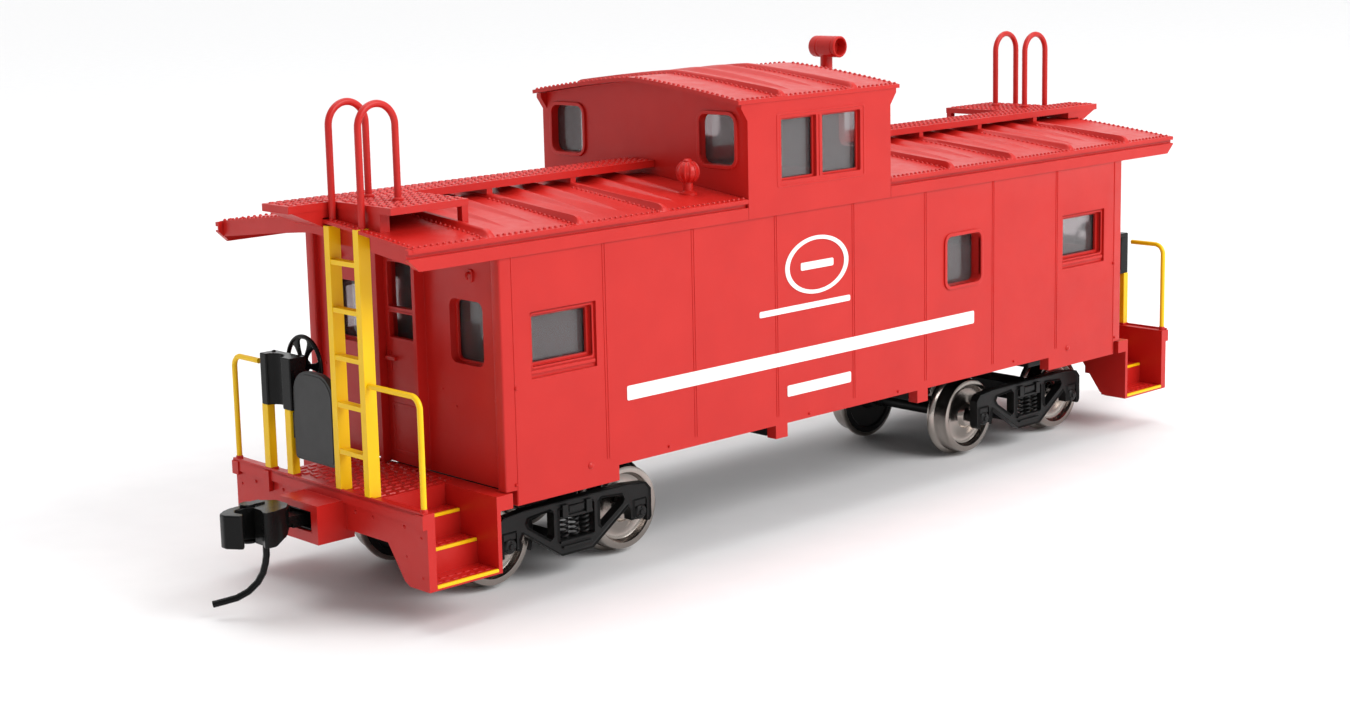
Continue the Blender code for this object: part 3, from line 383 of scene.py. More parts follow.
def make_windows():
    frames = bmesh.new()
    for side in (-1, 1):
        face = side * BODY_Y
        rebate = side * (BODY_Y - 0.35)
        back = side * (BODY_Y - 1.25)
        for end in (-1, 1):
            x0, x1 = sorted((end * SIDE_WINDOW[0], end * SIDE_WINDOW[1]))
            z0, z1 = SIDE_WINDOW[2:]
            sash = ring_outline(x0 + 0.32, x1 - 0.32, z0 + 0.32, z1 - 0.32, 0.15, 0.5)
            add_prism(frames, "y", sash, back, side * (BODY_Y - 0.85))
            add_prism(frames, "y", ring_outline(x0, x1, z0, z1, 0.2, 0.22), rebate - side * 0.2,
                      rebate + side * 0.12)
            sill = (x0 - 0.3, x1 + 0.3)
            add_box(frames, *sill, rebate - side * 0.2, rebate + side * 0.22, z0 - 0.75, z0 - 0.35)
        x0, x1, z0, z1 = SMALL_WINDOW
        add_prism(frames, "y", ring_outline(x0, x1, z0, z1, 0.8, 0.45), face - side * 0.3,
                  face + side * 0.2)
    piece("window_frames", frames, RED, slot="red_plastic", bevel=0.07)


def end_wall_details():
    """Lamp brackets, window bands and rivets on an end wall."""
    bm = bmesh.new()
    wall = -BODY_X
    for y in (-11.75, 11.75):
        add_prism(bm, "x", [rounded(y - 0.45, y + 0.45, 33.9, 35.3, 0.3)], wall - 0.18, wall + 0.1)
        add_tube(bm, [(wall - 0.1, y, 34.9), (wall - 0.5, y, 34.9), (wall - 0.62, y, 34.6),
                      (wall - 0.5, y, 34.25)], 0.16)
    for side in (-1, 1):
        y0, y1, z0, z1 = END_WINDOW
        inner = [side * y for y in (y0 + 0.25, y1 - 0.25)]
        add_prism(bm, "x", ring_outline(min(inner), max(inner), z0 + 0.25, z1 - 0.25, 0.7, 0.45),
                  wall + 1.2, wall + 0.85)
        for z in (16.0, 21.8):
            add_dome(bm, (wall, side * 15.2, z), (-1, 0, 0), 0.2, 0.14)
    for y, z in ((-6.3, 21.8), (-8.6, 20.2), (6.3, 21.8), (8.6, 20.2)):
        add_dome(bm, (wall, y, z), (-1, 0, 0), 0.17, 0.12)
    return bm


def door_details():
    """Window bands, hinges, the handle's plate and the lower panel's bead on a door."""
    bm = bmesh.new()
    face = DOOR_X + 0.05
    for z0, z1 in ((26.5, 29.3), (29.9, 34.9)):
        add_prism(bm, "x", ring_outline(-2.3, 2.3, z0, z1, 0.25, 0.2), face + 0.1, face - 0.12)
    for z in (15.5, 24.5, 33.5):
        add_tube(bm, [(face - 0.05, -2.95, z - 0.7), (face - 0.05, -2.95, z + 0.7)], 0.17)
    add_prism(bm, "x", [rounded(2.15, 2.9, 22.6, 24.9, 0.2)], face + 0.1, face - 0.1)
    add_prism(bm, "x", [rounded(-2.4, 2.4, 13.6, 19.2, 0.3), rounded(-2.1, 2.1, 13.9, 18.9, 0.2)],
              face + 0.1, face - 0.07)
    return bm


def make_ends():
    both_ends("end_wall_details", end_wall_details, RED, slot="red_plastic", bevel=0.05)
    both_ends("door", lambda: from_cad("end_door_a"), RED, slot="red_plastic", bevel=0.1,
              replaces=["end_door_{}"])
    both_ends("door_details", door_details, RED, slot="red_plastic", bevel=0.04)


# ---- Roofs -----------------------------------------------------------------------------------

def main_level(y):
    return EAVE_Z + 1.95 * (1 - abs(y / ROOF_HALF) ** 1.15)


def cupola_level(y):
    return CUPOLA_EAVE_Z + 2.1 * (1 - abs(y / CUPOLA_ROOF_HALF) ** 1.3)


def smooth(value):
    value = min(1.0, max(0.0, value))
    return value * value * (3 - 2 * value)


def rib_height(x, y, rib, half, lift):
    """A rib across the roof: it stands higher towards the eave and ends in a round nose."""
    across = smooth((0.64 - abs(x - rib)) / 0.36)
    along = 0.42 + lift * (abs(y) / half) ** 2
    nose = max(0.0, (abs(y) - half + 1.3) / 1.2)
    return across * along * math.sqrt(max(0.0, 1 - nose * nose))


def dart_height(x, y, middle, reach):
    """A stamping that is wide at the ridge and runs to a point on the way down to the eave."""
    share = (abs(y) - 1.0) / reach
    if share >= 1:
        return 0.0
    share = max(share, 0.0)
    half_width = 1.5 * (1 - share) + 0.08
    return 0.5 * (1 - share) ** 0.6 * smooth(1 - abs(x - middle) / half_width)


def roof_relief(ribs, darts, half, lift, reach, base=0.0):
    """The height that a roof's ribs and darts add to its arch, as a function of x and y."""
    def relief(x, y):
        height = sum(rib_height(x, y, rib, half, lift) for rib in ribs if abs(x - rib) < 0.7)
        stamped = [dart_height(x, y, dart, reach) for dart in darts if abs(x - dart) < 1.6]
        return base + max([height] + stamped)

    return relief


def add_roof_sheet(bm, x0, x1, half, level, thickness, relief, pitch=0.17):
    """A closed sheet over an arch, its upper face raised by the relief."""
    columns = round((x1 - x0) / pitch)
    xs = [x0 + (x1 - x0) * k / columns for k in range(columns + 1)]
    edge = [half - 0.1 * k for k in range(14)]
    inner = [edge[-1] * k / 42 for k in range(42)]
    ys = [-y for y in edge] + [-y for y in inner[:0:-1]] + inner + edge[::-1]
    rows = len(ys) - 1
    top = [[bm.verts.new((x, y, level(y) + relief(x, y))) for y in ys] for x in xs]
    low = [[bm.verts.new((x, y, level(y) - thickness)) for y in ys] for x in (x0, x1)]
    for near, far in zip(top, top[1:]):
        for k in range(rows):
            bm.faces.new((near[k], far[k], far[k + 1], near[k + 1]))
    for k in range(rows):
        bm.faces.new((low[0][k], low[0][k + 1], low[1][k + 1], low[1][k]))
        bm.faces.new((top[0][k], top[0][k + 1], low[0][k + 1], low[0][k]))
        bm.faces.new((top[-1][k], low[1][k], low[1][k + 1], top[-1][k + 1]))
    for k in (0, rows):
        bm.faces.new([column[k] for column in top] + [low[1][k], low[0][k]])


def roof_rivets(ribs, xs, half, level, relief, inner, ends):
    """Rows along both eaves, beside each rib and across the open ends."""
    bm = bmesh.new()
    pitch, radius, height = 0.78, 0.21, 0.21

    def put(x, y):
        slope = (level(y + 0.05) - level(y - 0.05)) / 0.1
        add_dome(bm, (x, y, level(y) + relief(x, y)), (0, -slope, 1), radius, height)

    for x in steps_between(*xs, pitch):
        if all(abs(x - rib) > 0.7 for rib in ribs):
            for side in (-1, 1):
                put(x, side * (half - 0.45))
    across = ends + [rib + side * 0.8 for rib in ribs for side in (-1, 1)]
    for x in across:
        for y in steps_between(inner, half - 0.9, pitch):
            put(x, y)
            put(x, -y)
    return bm


# The sheet reaches a little past the roof that it lies on, so that no two faces coincide.
SHEET_LIFT = 0.05
SHEET_PAST_END, SHEET_PAST_SIDE = 0.04, 0.03


def make_main_roofs():
    for letter, end in (("a", -1), ("b", 1)):
        node = "main_roof_" + letter
        wall = span(node)[1] if end < 0 else span(node)[0]
        count = 3 if end < 0 else 4
        ribs = [end * (4.5 - k) * RIB_PITCH for k in range(count)]
        darts = [rib - end * RIB_PITCH * share for rib in ribs[:3] for share in (0.36, 0.66)]
        darts = [dart for dart in darts if abs(dart - wall) > 2]
        relief = roof_relief(ribs, darts, ROOF_HALF, 0.42, 13.6, SHEET_LIFT)
        xs = sorted((end * (ROOF_END + SHEET_PAST_END), wall))
        piece("roof_" + letter, from_cad(node), RED, slot="red_plastic", bevel=0.1, replaces=[node])
        sheet = bmesh.new()
        add_roof_sheet(sheet, *xs, ROOF_HALF + SHEET_PAST_SIDE, main_level, 0.3, relief)
        piece("roof_sheet_" + letter, sheet, RED, slot="red_plastic", flat_below=50)
        rivets = roof_rivets(ribs, xs, ROOF_HALF, main_level, relief, 2.8,
                             [end * (ROOF_END - 0.4)])
        piece("roof_rivets_" + letter, rivets, RED, slot="red_plastic")


def make_cupola():
    piece("cupola", from_cad("cupola_shell"), RED, slot="red_plastic", bevel=0.14, segments=3,
          replaces=["cupola_shell"])

    frames = bmesh.new()
    for side in (-1, 1):
        face = side * ROOF_HALF
        for x0, x1 in ((-12.45, -6.55), (-5.55, 1.1)):
            add_prism(frames, "y", ring_outline(x0 + 0.25, x1 - 0.25, 41.05, 47.7, 0.15, 0.4),
                      face - side * 0.72, face - side * 0.45)
        add_prism(frames, "y", ring_outline(-12.95, 1.6, 40.3, 48.3, 0.15, 0.28),
                  face - side * 0.1, face + side * 0.06)
        add_box(frames, -6.12, -5.98, face - side * 0.1, face + side * 0.09, 40.8, 47.95)
    for wall, way in ((CUPOLA_X[0], -1), (CUPOLA_X[1], 1)):
        for side in (-1, 1):
            y0, y1 = sorted((side * 10.0, side * 15.6))
            add_prism(frames, "x", ring_outline(y0, y1, 42.9, 48.6, 1.0, 0.42), wall - way * 0.2,
                      wall + way * 0.28)
    piece("cupola_window_frames", frames, RED, slot="red_plastic", bevel=0.07)

    ribs = [-12.0, 0.3]
    x0, x1 = CUPOLA_ROOF_X
    darts = [-8.0, -3.7]
    relief = roof_relief(ribs, darts, CUPOLA_ROOF_HALF, 0.3, 14.0)
    sheet = bmesh.new()
    add_roof_sheet(sheet, x0, x1, CUPOLA_ROOF_HALF, cupola_level, 0.45, relief)
    piece("cupola_roof_sheet", sheet, RED, slot="red_plastic", flat_below=50,
          replaces=["cupola_roof"])
    rivets = roof_rivets(ribs, (x0, x1), CUPOLA_ROOF_HALF, cupola_level, relief, 0.4,
                         [x0 + 0.35, x1 - 0.35])
    piece("cupola_roof_rivets", rivets, RED, slot="red_plastic")


SMOKE_JACK = (22.6, 7.0, 53.5)
ROOF_VENT = (-22.0, -12.0, 42.4)


def smoke_jack():
    """The flue on its flashing, and the drum across its top."""
    x, y, axis_z = SMOKE_JACK
    foot = main_level(y) - 0.3
    jack = bmesh.new()
    flue = [(0, axis_z), (0.8, axis_z), (0.8, foot + 8.9), (0.92, foot + 8.8), (0.92, foot + 8.4),
            (0.8, foot + 8.3), (0.8, foot + 1.25), (1.0, foot + 0.95), (1.3, foot + 0.8),
            (1.42, foot + 0.6), (1.42, foot), (0, foot)]
    add_lathe(jack, flue, "z", (x, y, 0))
    reach, cap = 2.45, 0.77
    dome = [(1.4 * math.cos(math.radians(a)), reach - cap + cap * math.sin(math.radians(a)))
            for a in range(90, -1, -10)]
    dome[0] = (0, reach)
    drum = dome + [(1.4, 0.9), (1.34, 0.82), (1.34, 0.62), (1.4, 0.54), (1.4, -1.75), (1.34, -1.83),
                   (1.4, -1.91), (1.4, -reach + 0.1), (1.3, -reach), (1.15, -reach),
                   (1.08, -reach + 0.1), (1.08, -1.1), (0, -1.1)]
    add_lathe(jack, drum, "y", (x, y, axis_z))
    return jack


def roof_vent():
    """A ball vent with upright fins and a cap."""
    x, y, ball_z = ROOF_VENT
    foot = main_level(y) - 0.25
    vent = bmesh.new()
    profile = [(r if r > 1e-3 else 0, z) for r, z in arc((0, ball_z), 1.3, 90, -64, 20)]
    profile += [(0.58, ball_z - 1.5), (0.58, foot + 0.7), (0.8, foot + 0.55), (1.05, foot + 0.45),
                (1.05, foot), (0, foot)]
    add_lathe(vent, profile, "z", (x, y, 0))
    fins = 12
    for k in range(fins):
        a = 2 * math.pi * k / fins
        fin = [(x + r * math.cos(a), y + r * math.sin(a), z)
               for r, z in arc((0, ball_z), 1.28, 60, -52, 12)]
        add_tube(vent, fin, 0.13, 8)
    add_lathe(vent, [(0, ball_z + 1.55), (0.3, ball_z + 1.51), (0.5, ball_z + 1.36),
                     (0.5, ball_z + 1.1), (0, ball_z + 1.1)], "z", (x, y, 0))
    return vent


def make_roof_fittings():
    piece("smoke_jack_pipe", smoke_jack(), RED, slot="red_plastic", replaces=["smoke_jack"])
    piece("vent_ball", roof_vent(), RED, slot="red_plastic", replaces=["roof_vent"])


# ---- Running boards, ladders, loops and rails ------------------------------------------------

def add_tread_pads(bm, x0, x1, y0, y1, z, pitch=(0.92, 0.8), height=0.13):
    """Raised tread pads in staggered rows on a flat top."""
    reach = pitch[0] * 0.34, pitch[1] * 0.3
    corners = ((-1, -1), (1, -1), (1, 1), (-1, 1))
    for row, y in enumerate(steps_between(y0, y1, pitch[1])):
        for x in steps_between(x0, x1, pitch[0]):
            shift = 0.24 * pitch[0] if row % 2 else 0.0
            low = [(x + shift + u * reach[0], y + v * reach[1], z - 0.08) for u, v in corners]
            high = [(x + shift + u * (reach[0] - 0.1), y + v * (reach[1] - 0.1), z + height)
                    for u, v in corners]
            rings = add_rings(bm, [low, high])
            bm.faces.new(rings[0])
            bm.faces.new(rings[1])


def running_board_pads(end):
    bm = bmesh.new()
    wall = end * (abs(CUPOLA_X[0] if end < 0 else CUPOLA_X[1]) + 0.4)
    add_tread_pads(bm, *sorted((wall, end * (BOARD_END - 0.3))), -2.15, 2.15, BOARD_TOP)
    side = sorted(end * y for y in (2.7, 12.1))
    add_tread_pads(bm, *sorted((end * 54.2, end * 63.7)), *side, BOARD_TOP - 0.02)
    return bm


def make_running_boards():
    for letter, end in (("a", -1), ("b", 1)):
        node = "running_board_" + letter
        piece("roof_walk_" + letter, from_cad(node), RED, slot="red_plastic", bevel=0.09,
              replaces=[node])
        piece("roof_walk_tread_" + letter, running_board_pads(end), RED, slot="red_plastic")


def loop_wire(y):
    outer, inner, top = 64.5, 59.8, 53.0
    radius = (outer - inner) / 2
    middle = -(outer + inner) / 2
    bm = bmesh.new()
    route = [(-outer, 40.45), (-outer, 46.0)]
    route += arc((middle, top - radius), radius, 180, 0, 28)
    route += [(-inner, 46.0), (-inner, BOARD_TOP)]
    add_tube(bm, [(x, -y, z) for x, z in route], LOOP_RADIUS)
    collar = [(0, 0.4), (0.5, 0.4), (0.62, 0.25), (0.62, 0.0), (0, 0.0)]
    add_lathe(bm, collar, "z", (-inner, -y, BOARD_TOP), 24)
    return bm


def corner_wire(side, end_y):
    bend, top = 1.3, 24.2
    x, out = CORNER_RAIL
    route = [(out, DECK_Z), (out, 18.0)]
    route += arc((out - bend, top - bend), bend, 0, 90, 14) + [(end_y, top)]
    bm = bmesh.new()
    add_tube(bm, [(x, side * y, z) for y, z in route], RAIL_RADIUS)
    return bm


def rail_collar(side):
    """The small moulded foot that the corner rail stands in."""
    bm = bmesh.new()
    profile = [(0, 12.75), (0.34, 12.75), (0.42, 12.6), (0.42, 11.6), (0, 11.5)]
    add_lathe(bm, profile, "z", (CORNER_RAIL[0], side * CORNER_RAIL[1], 0), 20)
    return bm


def make_wirework():
    both_ends("ladder_frame", lambda: from_cad("ladder_a"), YELLOW, slot="yellow_plastic",
              bevel=0.1, replaces=["ladder_{}"])
    for y, name in ((2.9, "grab_loop_inner"), (8.0, "grab_loop_outer")):
        both_ends(name.replace("grab_loop", "grab_wire"), lambda y=y: loop_wire(y), RED,
                  slot="red_plastic", replaces=[name + "_{}"])
    for side, end_y, name in ((-1, 8.5, "ladder_side"), (1, 11.85, "brake_side")):
        both_ends("corner_wire_" + name, lambda side=side, end_y=end_y: corner_wire(side, end_y),
                  YELLOW, slot="yellow_plastic", replaces=["rail_" + name + "_{}"])
        both_ends("corner_boss_" + name, lambda side=side: rail_collar(side), RED,
                  slot="red_plastic")


# ---- Hand brake ------------------------------------------------------------------------------

BRAKE_WHEEL = (-61.9, 7.6, 23.85)
BRAKE_RIM_RADIUS = 3.12
POSTS_Y = (6.05, 10.4)


def brake_wheel_rim():
    """A dished wheel with six holes, its cage rounded by subdivision."""
    x, y, z = BRAKE_WHEEL
    bm = bmesh.new()
    radii = (0.5, 1.15, 2.85, 3.2)
    sectors, group, thickness = 30, 5, 0.3
    verts = []
    for radius in radii:
        dish = x - 0.25 * (1 - radius / radii[-1])
        angles = [2 * math.pi * k / sectors for k in range(sectors)]
        verts.append([bm.verts.new((dish, y + radius * math.cos(a), z + radius * math.sin(a)))
                      for a in angles])
    for ring, (near, far) in enumerate(zip(verts, verts[1:])):
        for k in range(sectors):
            if ring == 1 and k % group in (1, 2, 3):
                continue
            bm.faces.new((near[k], near[(k + 1) % sectors], far[(k + 1) % sectors], far[k]))
    bm.faces.new(verts[0])
    grown = bmesh.ops.extrude_face_region(bm, geom=bm.faces[:])["geom"]
    moved = [item for item in grown if isinstance(item, bmesh.types.BMVert)]
    bmesh.ops.translate(bm, vec=(thickness, 0, 0), verts=moved)
    return bm


def brake_wheel_trim():
    """The wheel's round rim, its nut and its shaft."""
    x, y, z = BRAKE_WHEEL
    bm = bmesh.new()
    turns = [2 * math.pi * k / 48 for k in range(48)]
    rim = [(x + 0.1, y + BRAKE_RIM_RADIUS * math.cos(a), z + BRAKE_RIM_RADIUS * math.sin(a))
           for a in turns]
    add_tube(bm, rim, 0.25, 12, closed=True)
    shaft = [(0, 0.75), (0.28, 0.75), (0.42, 0.6), (0.42, 0.35), (0.75, 0.3), (0.75, -0.35),
             (0.5, -0.45), (0.5, -1.75), (0, -1.75)]
    add_lathe(bm, shaft, "x", (x, y, z), 24)
    return bm


def brake_housing_trim():
    """A bolt on each pillar of the housing, and a raised panel on each of its sides."""
    bm = bmesh.new()
    x0, _, y0, y1, z0, z1 = span("brake_housing_a")
    for y in (y0 + 0.62, y1 - 0.62):
        add_dome(bm, (x0 + 1.5, y, z1), (0, 0, 1), 0.26, 0.16)
    for y in (y0, y1):
        way = -1 if y == y0 else 1
        add_prism(bm, "y", [rounded(x0 + 0.45, x0 + 1.8, z0 + 0.6, z1 - 0.6, 0.25)], y - way * 0.1,
                  y + way * 0.08)
    return bm


def brake_posts():
    bm = bmesh.new()
    x0, x1, _, _, z0, z1 = span("brake_stand_a")
    for y in POSTS_Y:
        add_box(bm, x0, x1, y - 0.55, y + 0.55, z0, z1 + 0.1)
    return bm


def brake_feet():
    bm = bmesh.new()
    x0 = span("brake_stand_a")[0]
    for y in POSTS_Y:
        add_box(bm, x0 - 0.05, x0 + 1.1, y - 0.62, y + 0.62, DECK_Z - 0.1, DECK_Z + 0.3)
    return bm


def guard_trim():
    """A raised face on the gate plate, set in from its rim."""
    bm = bmesh.new()
    x0, _, y0, _, z0, z1 = span("brake_guard_a")
    y1, crown, inset = 5.05, 2.45, 0.3
    outline = arc((y1 - inset - crown, z1 - inset - crown), crown, 0, 90, 12)
    outline += arc((y0 + inset + crown, z1 - inset - crown), crown, 90, 180, 12)
    outline += arc((y0 + 0.7, z0 + 0.7), 0.4, 180, 270, 4)
    outline += arc((y1 - 0.7, z0 + 0.7), 0.4, 270, 360, 4)
    add_prism(bm, "x", [outline], x0 + 0.3, x0 - 0.08)
    return bm


def make_hand_brake():
    both_ends("brake_posts", brake_posts, YELLOW, slot="yellow_plastic", bevel=0.1,
              replaces=["brake_stand_{}"])
    both_ends("brake_feet", brake_feet, RED, slot="red_plastic", bevel=0.12)
    both_ends("brake_gear_case", lambda: from_cad("brake_housing_a"), BLACK, slot="black_plastic",
              bevel=0.14, segments=3, replaces=["brake_housing_{}"])
    both_ends("brake_gear_ribs", brake_housing_trim, BLACK, slot="black_plastic")
    both_ends("brake_wheel_disc", brake_wheel_rim, BLACK, slot="black_plastic", subdivide=2,
              replaces=["brake_wheel_{}"], flat_below=80)
    both_ends("brake_wheel_shaft", brake_wheel_trim, BLACK, slot="black_plastic")
    both_ends("gate_plate", lambda: from_cad("brake_guard_a"), GREY, slot="grey_plastic",
              bevel=0.12, segments=3, replaces=["brake_guard_{}"])
    both_ends("gate_plate_face", guard_trim, GREY, slot="grey_plastic", bevel=0.05)


# ---- Platforms -------------------------------------------------------------------------------

TREADS = ((17.5, 4.6), (14.0, 7.3), (11.3, 10.0))
STEP_X = (-64.0, -55.9)


def platform_pads():
    """Tread pattern on the deck and on each step."""
    bm = bmesh.new()
    add_tread_pads(bm, -64.2, -54.3, -8.6, 8.6, DECK_Z, (1.3, 1.15))
    for side in (-1, 1):
        for (nose, z), depth in zip(TREADS, (2.6, 2.0, 1.8)):
            edges = sorted((side * (nose - 0.45), side * (nose - depth)))
            add_tread_pads(bm, STEP_X[0] + 0.3, STEP_X[1] - 0.3, *edges, z, (1.1, 1.0), 0.05)
    return bm


def step_edges():
    """The painted front edges of the treads."""
    bm = bmesh.new()
    for side in (-1, 1):
        for nose, z in TREADS:
            outer = nose + 0.06
            add_box(bm, STEP_X[0] + 0.02, STEP_X[1] - 0.02, side * (nose - 0.3), side * outer,
                    z - 0.3, z + 0.04)
    return bm


def platform_trim():
    """Rivets on the end beam and the step sides, and a bead along the deck's edge."""
    bm = bmesh.new()
    for side in (-1, 1):
        for y in (5.2, 8.2, 13.6):
            add_dome(bm, (BEAM_FACE, side * y, 10.3), (-1, 0, 0), 0.22, 0.16)
        for y, z in ((16.4, 5.4), (16.4, 9.6), (13.8, 7.2)):
            add_dome(bm, (BEAM_FACE, side * y, z), (-1, 0, 0), 0.18, 0.12)
    add_box(bm, BEAM_FACE - 0.4, BEAM_FACE - 0.12, -17.4, 17.4, DECK_Z - 0.3, DECK_Z + 0.2)
    return bm


def make_platforms():
    both_ends("platform", lambda: from_cad("end_platform_a"), RED, slot="red_plastic", bevel=0.12,
              replaces=["end_platform_{}"])
    both_ends("platform_tread", platform_pads, RED, slot="red_plastic")
    both_ends("platform_rivets", platform_trim, RED, slot="red_plastic")
    both_ends("step_edges", step_edges, YELLOW, slot="yellow_plastic", bevel=0.06)


# ---- Running gear ----------------------------------------------------------------------------

def sideframe(side):
    """A cast sideframe: a truss with raised rims, two windows, a spring opening and open jaws."""
    half_outline = [
        (2.3, 2.2), (7.7, 5.8), (8.05, 5.2), (8.05, 4.1), (8.7, 4.1), (8.7, 6.2), (10.5, 6.2),
        (10.5, 3.6), (10.9, 3.6), (11.2, 4.0), (11.2, 7.3), (10.5, 8.1), (7.6, 8.4),
    ]
    outline = half_outline + [(-x, z) for x, z in reversed(half_outline)]
    window = [(3.4, 7.25), (3.4, 4.6), (3.75, 4.3), (6.85, 6.3), (7.15, 6.8), (6.9, 7.3),
              (3.75, 7.55)]
    gap = rounded(-2.55, 2.55, 3.9, 7.5, 0.2, 3)
    rings = [outline, window, [(-x, z) for x, z in window], gap]
    bm = bmesh.new()
    face = add_prism(bm, "y", rings, side * 11.4, side * 12.65)
    bmesh.ops.recalc_face_normals(bm, faces=bm.faces)
    bmesh.ops.inset_region(bm, faces=face, thickness=0.2, depth=-0.28, use_even_offset=True)
    for z, reach in ((3.72, 2.5), (3.1, 2.1)):
        add_box(bm, -reach, reach, side * 12.2, side * 12.68, z - 0.12, z + 0.12)
    return bm


def axle_ends(side):
    """Roller bearing caps with their three bolts, and the adapters over them."""
    bm = bmesh.new()
    for x in (-WHEELBASE / 2, WHEELBASE / 2):
        cap = [(0, 12.95), (0.3, 12.95), (0.38, 12.85), (0.38, 12.75), (0.7, 12.7), (0.85, 12.55),
               (0.85, 12.1), (1.0, 12.0), (1.0, 11.5), (0, 11.5)]
        add_lathe(bm, [(r, side * y) for r, y in cap], "y", (x, 0, TREAD_RADIUS), 32)
        for k in range(3):
            a = math.radians(90 + 120 * k)
            at = (x + 0.56 * math.cos(a), side * 12.72, TREAD_RADIUS + 0.56 * math.sin(a))
            add_dome(bm, at, (0, side, 0), 0.12, 0.12)
        add_box(bm, x - 0.85, x + 0.85, side * 11.5, side * 12.5, TREAD_RADIUS + 0.7, 6.3)
    return bm


def spring_group(side):
    """Three coil springs between the spring seat and the bolster's end."""
    bm = bmesh.new()
    turns, per_turn = 4.5, 14
    for x in (-1.5, 0.0, 1.5):
        count = int(turns * per_turn)
        coil = []
        for k in range(count + 1):
            a = 2 * math.pi * k / per_turn
            coil.append((x + 0.46 * math.cos(a), side * 12.0 + 0.46 * math.sin(a),
                         3.95 + 2.4 * k / count))
        add_tube(bm, coil, 0.15, 8)
    add_box(bm, -2.4, 2.4, side * 11.5, side * 12.55, 6.3, 6.6)
    for x in (-1.75, 1.75):
        add_box(bm, x - 0.42, x + 0.42, side * 12.0, side * 12.72, 6.5, 7.9)
    add_box(bm, -1.1, 1.1, side * 12.0, side * 12.6, 6.9, 7.6)
    return bm


def bolster():
    """Truck bolster with its centre bowl, and the plank under it."""
    bm = bmesh.new()
    outline = [(-12.3, 6.5), (12.3, 6.5), (12.3, 7.9), (9.0, 8.2), (4.0, 8.2), (-4.0, 8.2),
               (-9.0, 8.2), (-12.3, 7.9)]
    add_prism(bm, "x", [outline], -2.05, 2.05)
    add_lathe(bm, [(1.2, 8.55), (2.4, 8.55), (2.4, 8.0), (1.2, 8.0), (1.2, 8.55)], "z", (0, 0, 0))
    add_box(bm, -1.6, 1.6, -12.0, 12.0, 2.7, 3.25)
    return bm


def brake_rigging():
    """Brake shoes facing the wheels, on a beam across the truck."""
    bm = bmesh.new()
    for way in (-1, 1):
        x = way * (WHEELBASE / 2 - TREAD_RADIUS - 0.85)
        for y in (-8.9, 8.9):
            shoe = [(WHEELBASE / 2 * way - way * r * math.cos(math.radians(a)),
                     TREAD_RADIUS + r * math.sin(math.radians(a)))
                    for r, angles in ((5.15, range(-22, 23, 11)), (5.75, range(22, -23, -11)))
                    for a in angles]
            add_prism(bm, "y", [shoe], y - 0.7, y + 0.7)
        add_tube(bm, [(x - way * 0.1, -8.6, 4.6), (x - way * 0.1, 8.6, 4.6)], 0.32, 10)
    return bm


def placed(build, x):
    bm = build()
    bmesh.ops.translate(bm, vec=(x, 0, 0), verts=bm.verts)
    return bm


def make_trucks():
    both_ends("truck_bolster", lambda: placed(bolster, -TRUCK_X), CAST_BLACK, "truck_{}",
              slot="black_plastic", bevel=0.12, replaces=["truck_{}"])
    for side, name in ((-1, "near"), (1, "far")):
        parts = (("sideframe", sideframe, 0.09), ("journals", axle_ends, 0.05),
                 ("springs", spring_group, 0.05))
        for stem, build, bevel in parts:
            both_ends(f"{stem}_{name}",
                      lambda build=build, side=side: placed(lambda: build(side), -TRUCK_X),
                      CAST_BLACK, "truck_{}", slot="black_plastic", bevel=bevel)
    both_ends("brake_shoes", lambda: placed(brake_rigging, -TRUCK_X), CAST_BLACK, "truck_{}",
              slot="black_plastic", bevel=0.06)


def wheel_profile(side):
    """One turned wheel, from the hub's face round the tread to its back."""
    face, back = 9.99, 7.2
    profile = [
        (0.7, face + 0.12), (1.3, face + 0.1), (1.5, face - 0.1), (1.75, face - 0.5), (2.6, 9.2),
        (3.4, 9.15), (3.75, 9.3), (3.9, 9.6), (3.98, face - 0.12), (4.08, face), (4.6, face),
        (TREAD_RADIUS - 0.06, face - 0.06), (TREAD_RADIUS, face - 0.2), (TREAD_RADIUS + 0.04, 8.35),
        (TREAD_RADIUS + 0.12, 8.1), (TREAD_RADIUS + 0.4, 7.95), (TREAD_RADIUS + 0.6, 7.75),
        (TREAD_RADIUS + 0.65, 7.55), (TREAD_RADIUS + 0.58, 7.32), (TREAD_RADIUS + 0.4, back),
        (4.6, back), (4.5, back + 0.3), (0.7, back + 0.4),
    ]
    return [(radius, side * y) for radius, y in profile]


# Half the axle's turned outline. Next to each wheel it widens into a black disc laid over the
# wheel's back face. This disc is painted shade: it stands in for the dark that the wheel backs show
# in the shade under the car.
AXLE_AND_SHADE_DISC_HALF = [
    (0, 12.2), (0.3, 12.0), (0.78, 11.4), (0.78, 7.9), (4.7, 7.9), (4.95, 7.4), (4.9, 7.15),
    (4.2, 7.1), (4.0, 7.3), (1.6, 7.35), (1.4, 7.05), (0.9, 7.0), (0.78, 6.9), (0.78, 5.5),
    (0.95, 5.3), (0.95, 4.9), (0.78, 4.7),
]


def make_wheelsets():
    for letter, end in (("a", -1), ("b", 1)):
        for number, offset in ((1, -WHEELBASE / 2), (2, WHEELBASE / 2)):
            centre = (end * TRUCK_X + offset, 0, TREAD_RADIUS)
            node = f"wheelset_{letter}{number}"
            bm = bmesh.new()
            for side in (-1, 1):
                add_lathe(bm, wheel_profile(side), "y", centre, 72, closed=True)
            piece(f"wheels_{letter}{number}", bm, NICKEL, node, "nickel_steel", replaces=[node])
            # The black axle carries the discs over the wheel backs, which are painted shade.
            bm = bmesh.new()
            profile = AXLE_AND_SHADE_DISC_HALF + [(radius, -y) for radius, y in reversed(AXLE_AND_SHADE_DISC_HALF)]
            add_lathe(bm, profile, "y", centre, 32)
            piece(f"axle_{letter}{number}", bm, CAST_BLACK, node, "black_plastic")


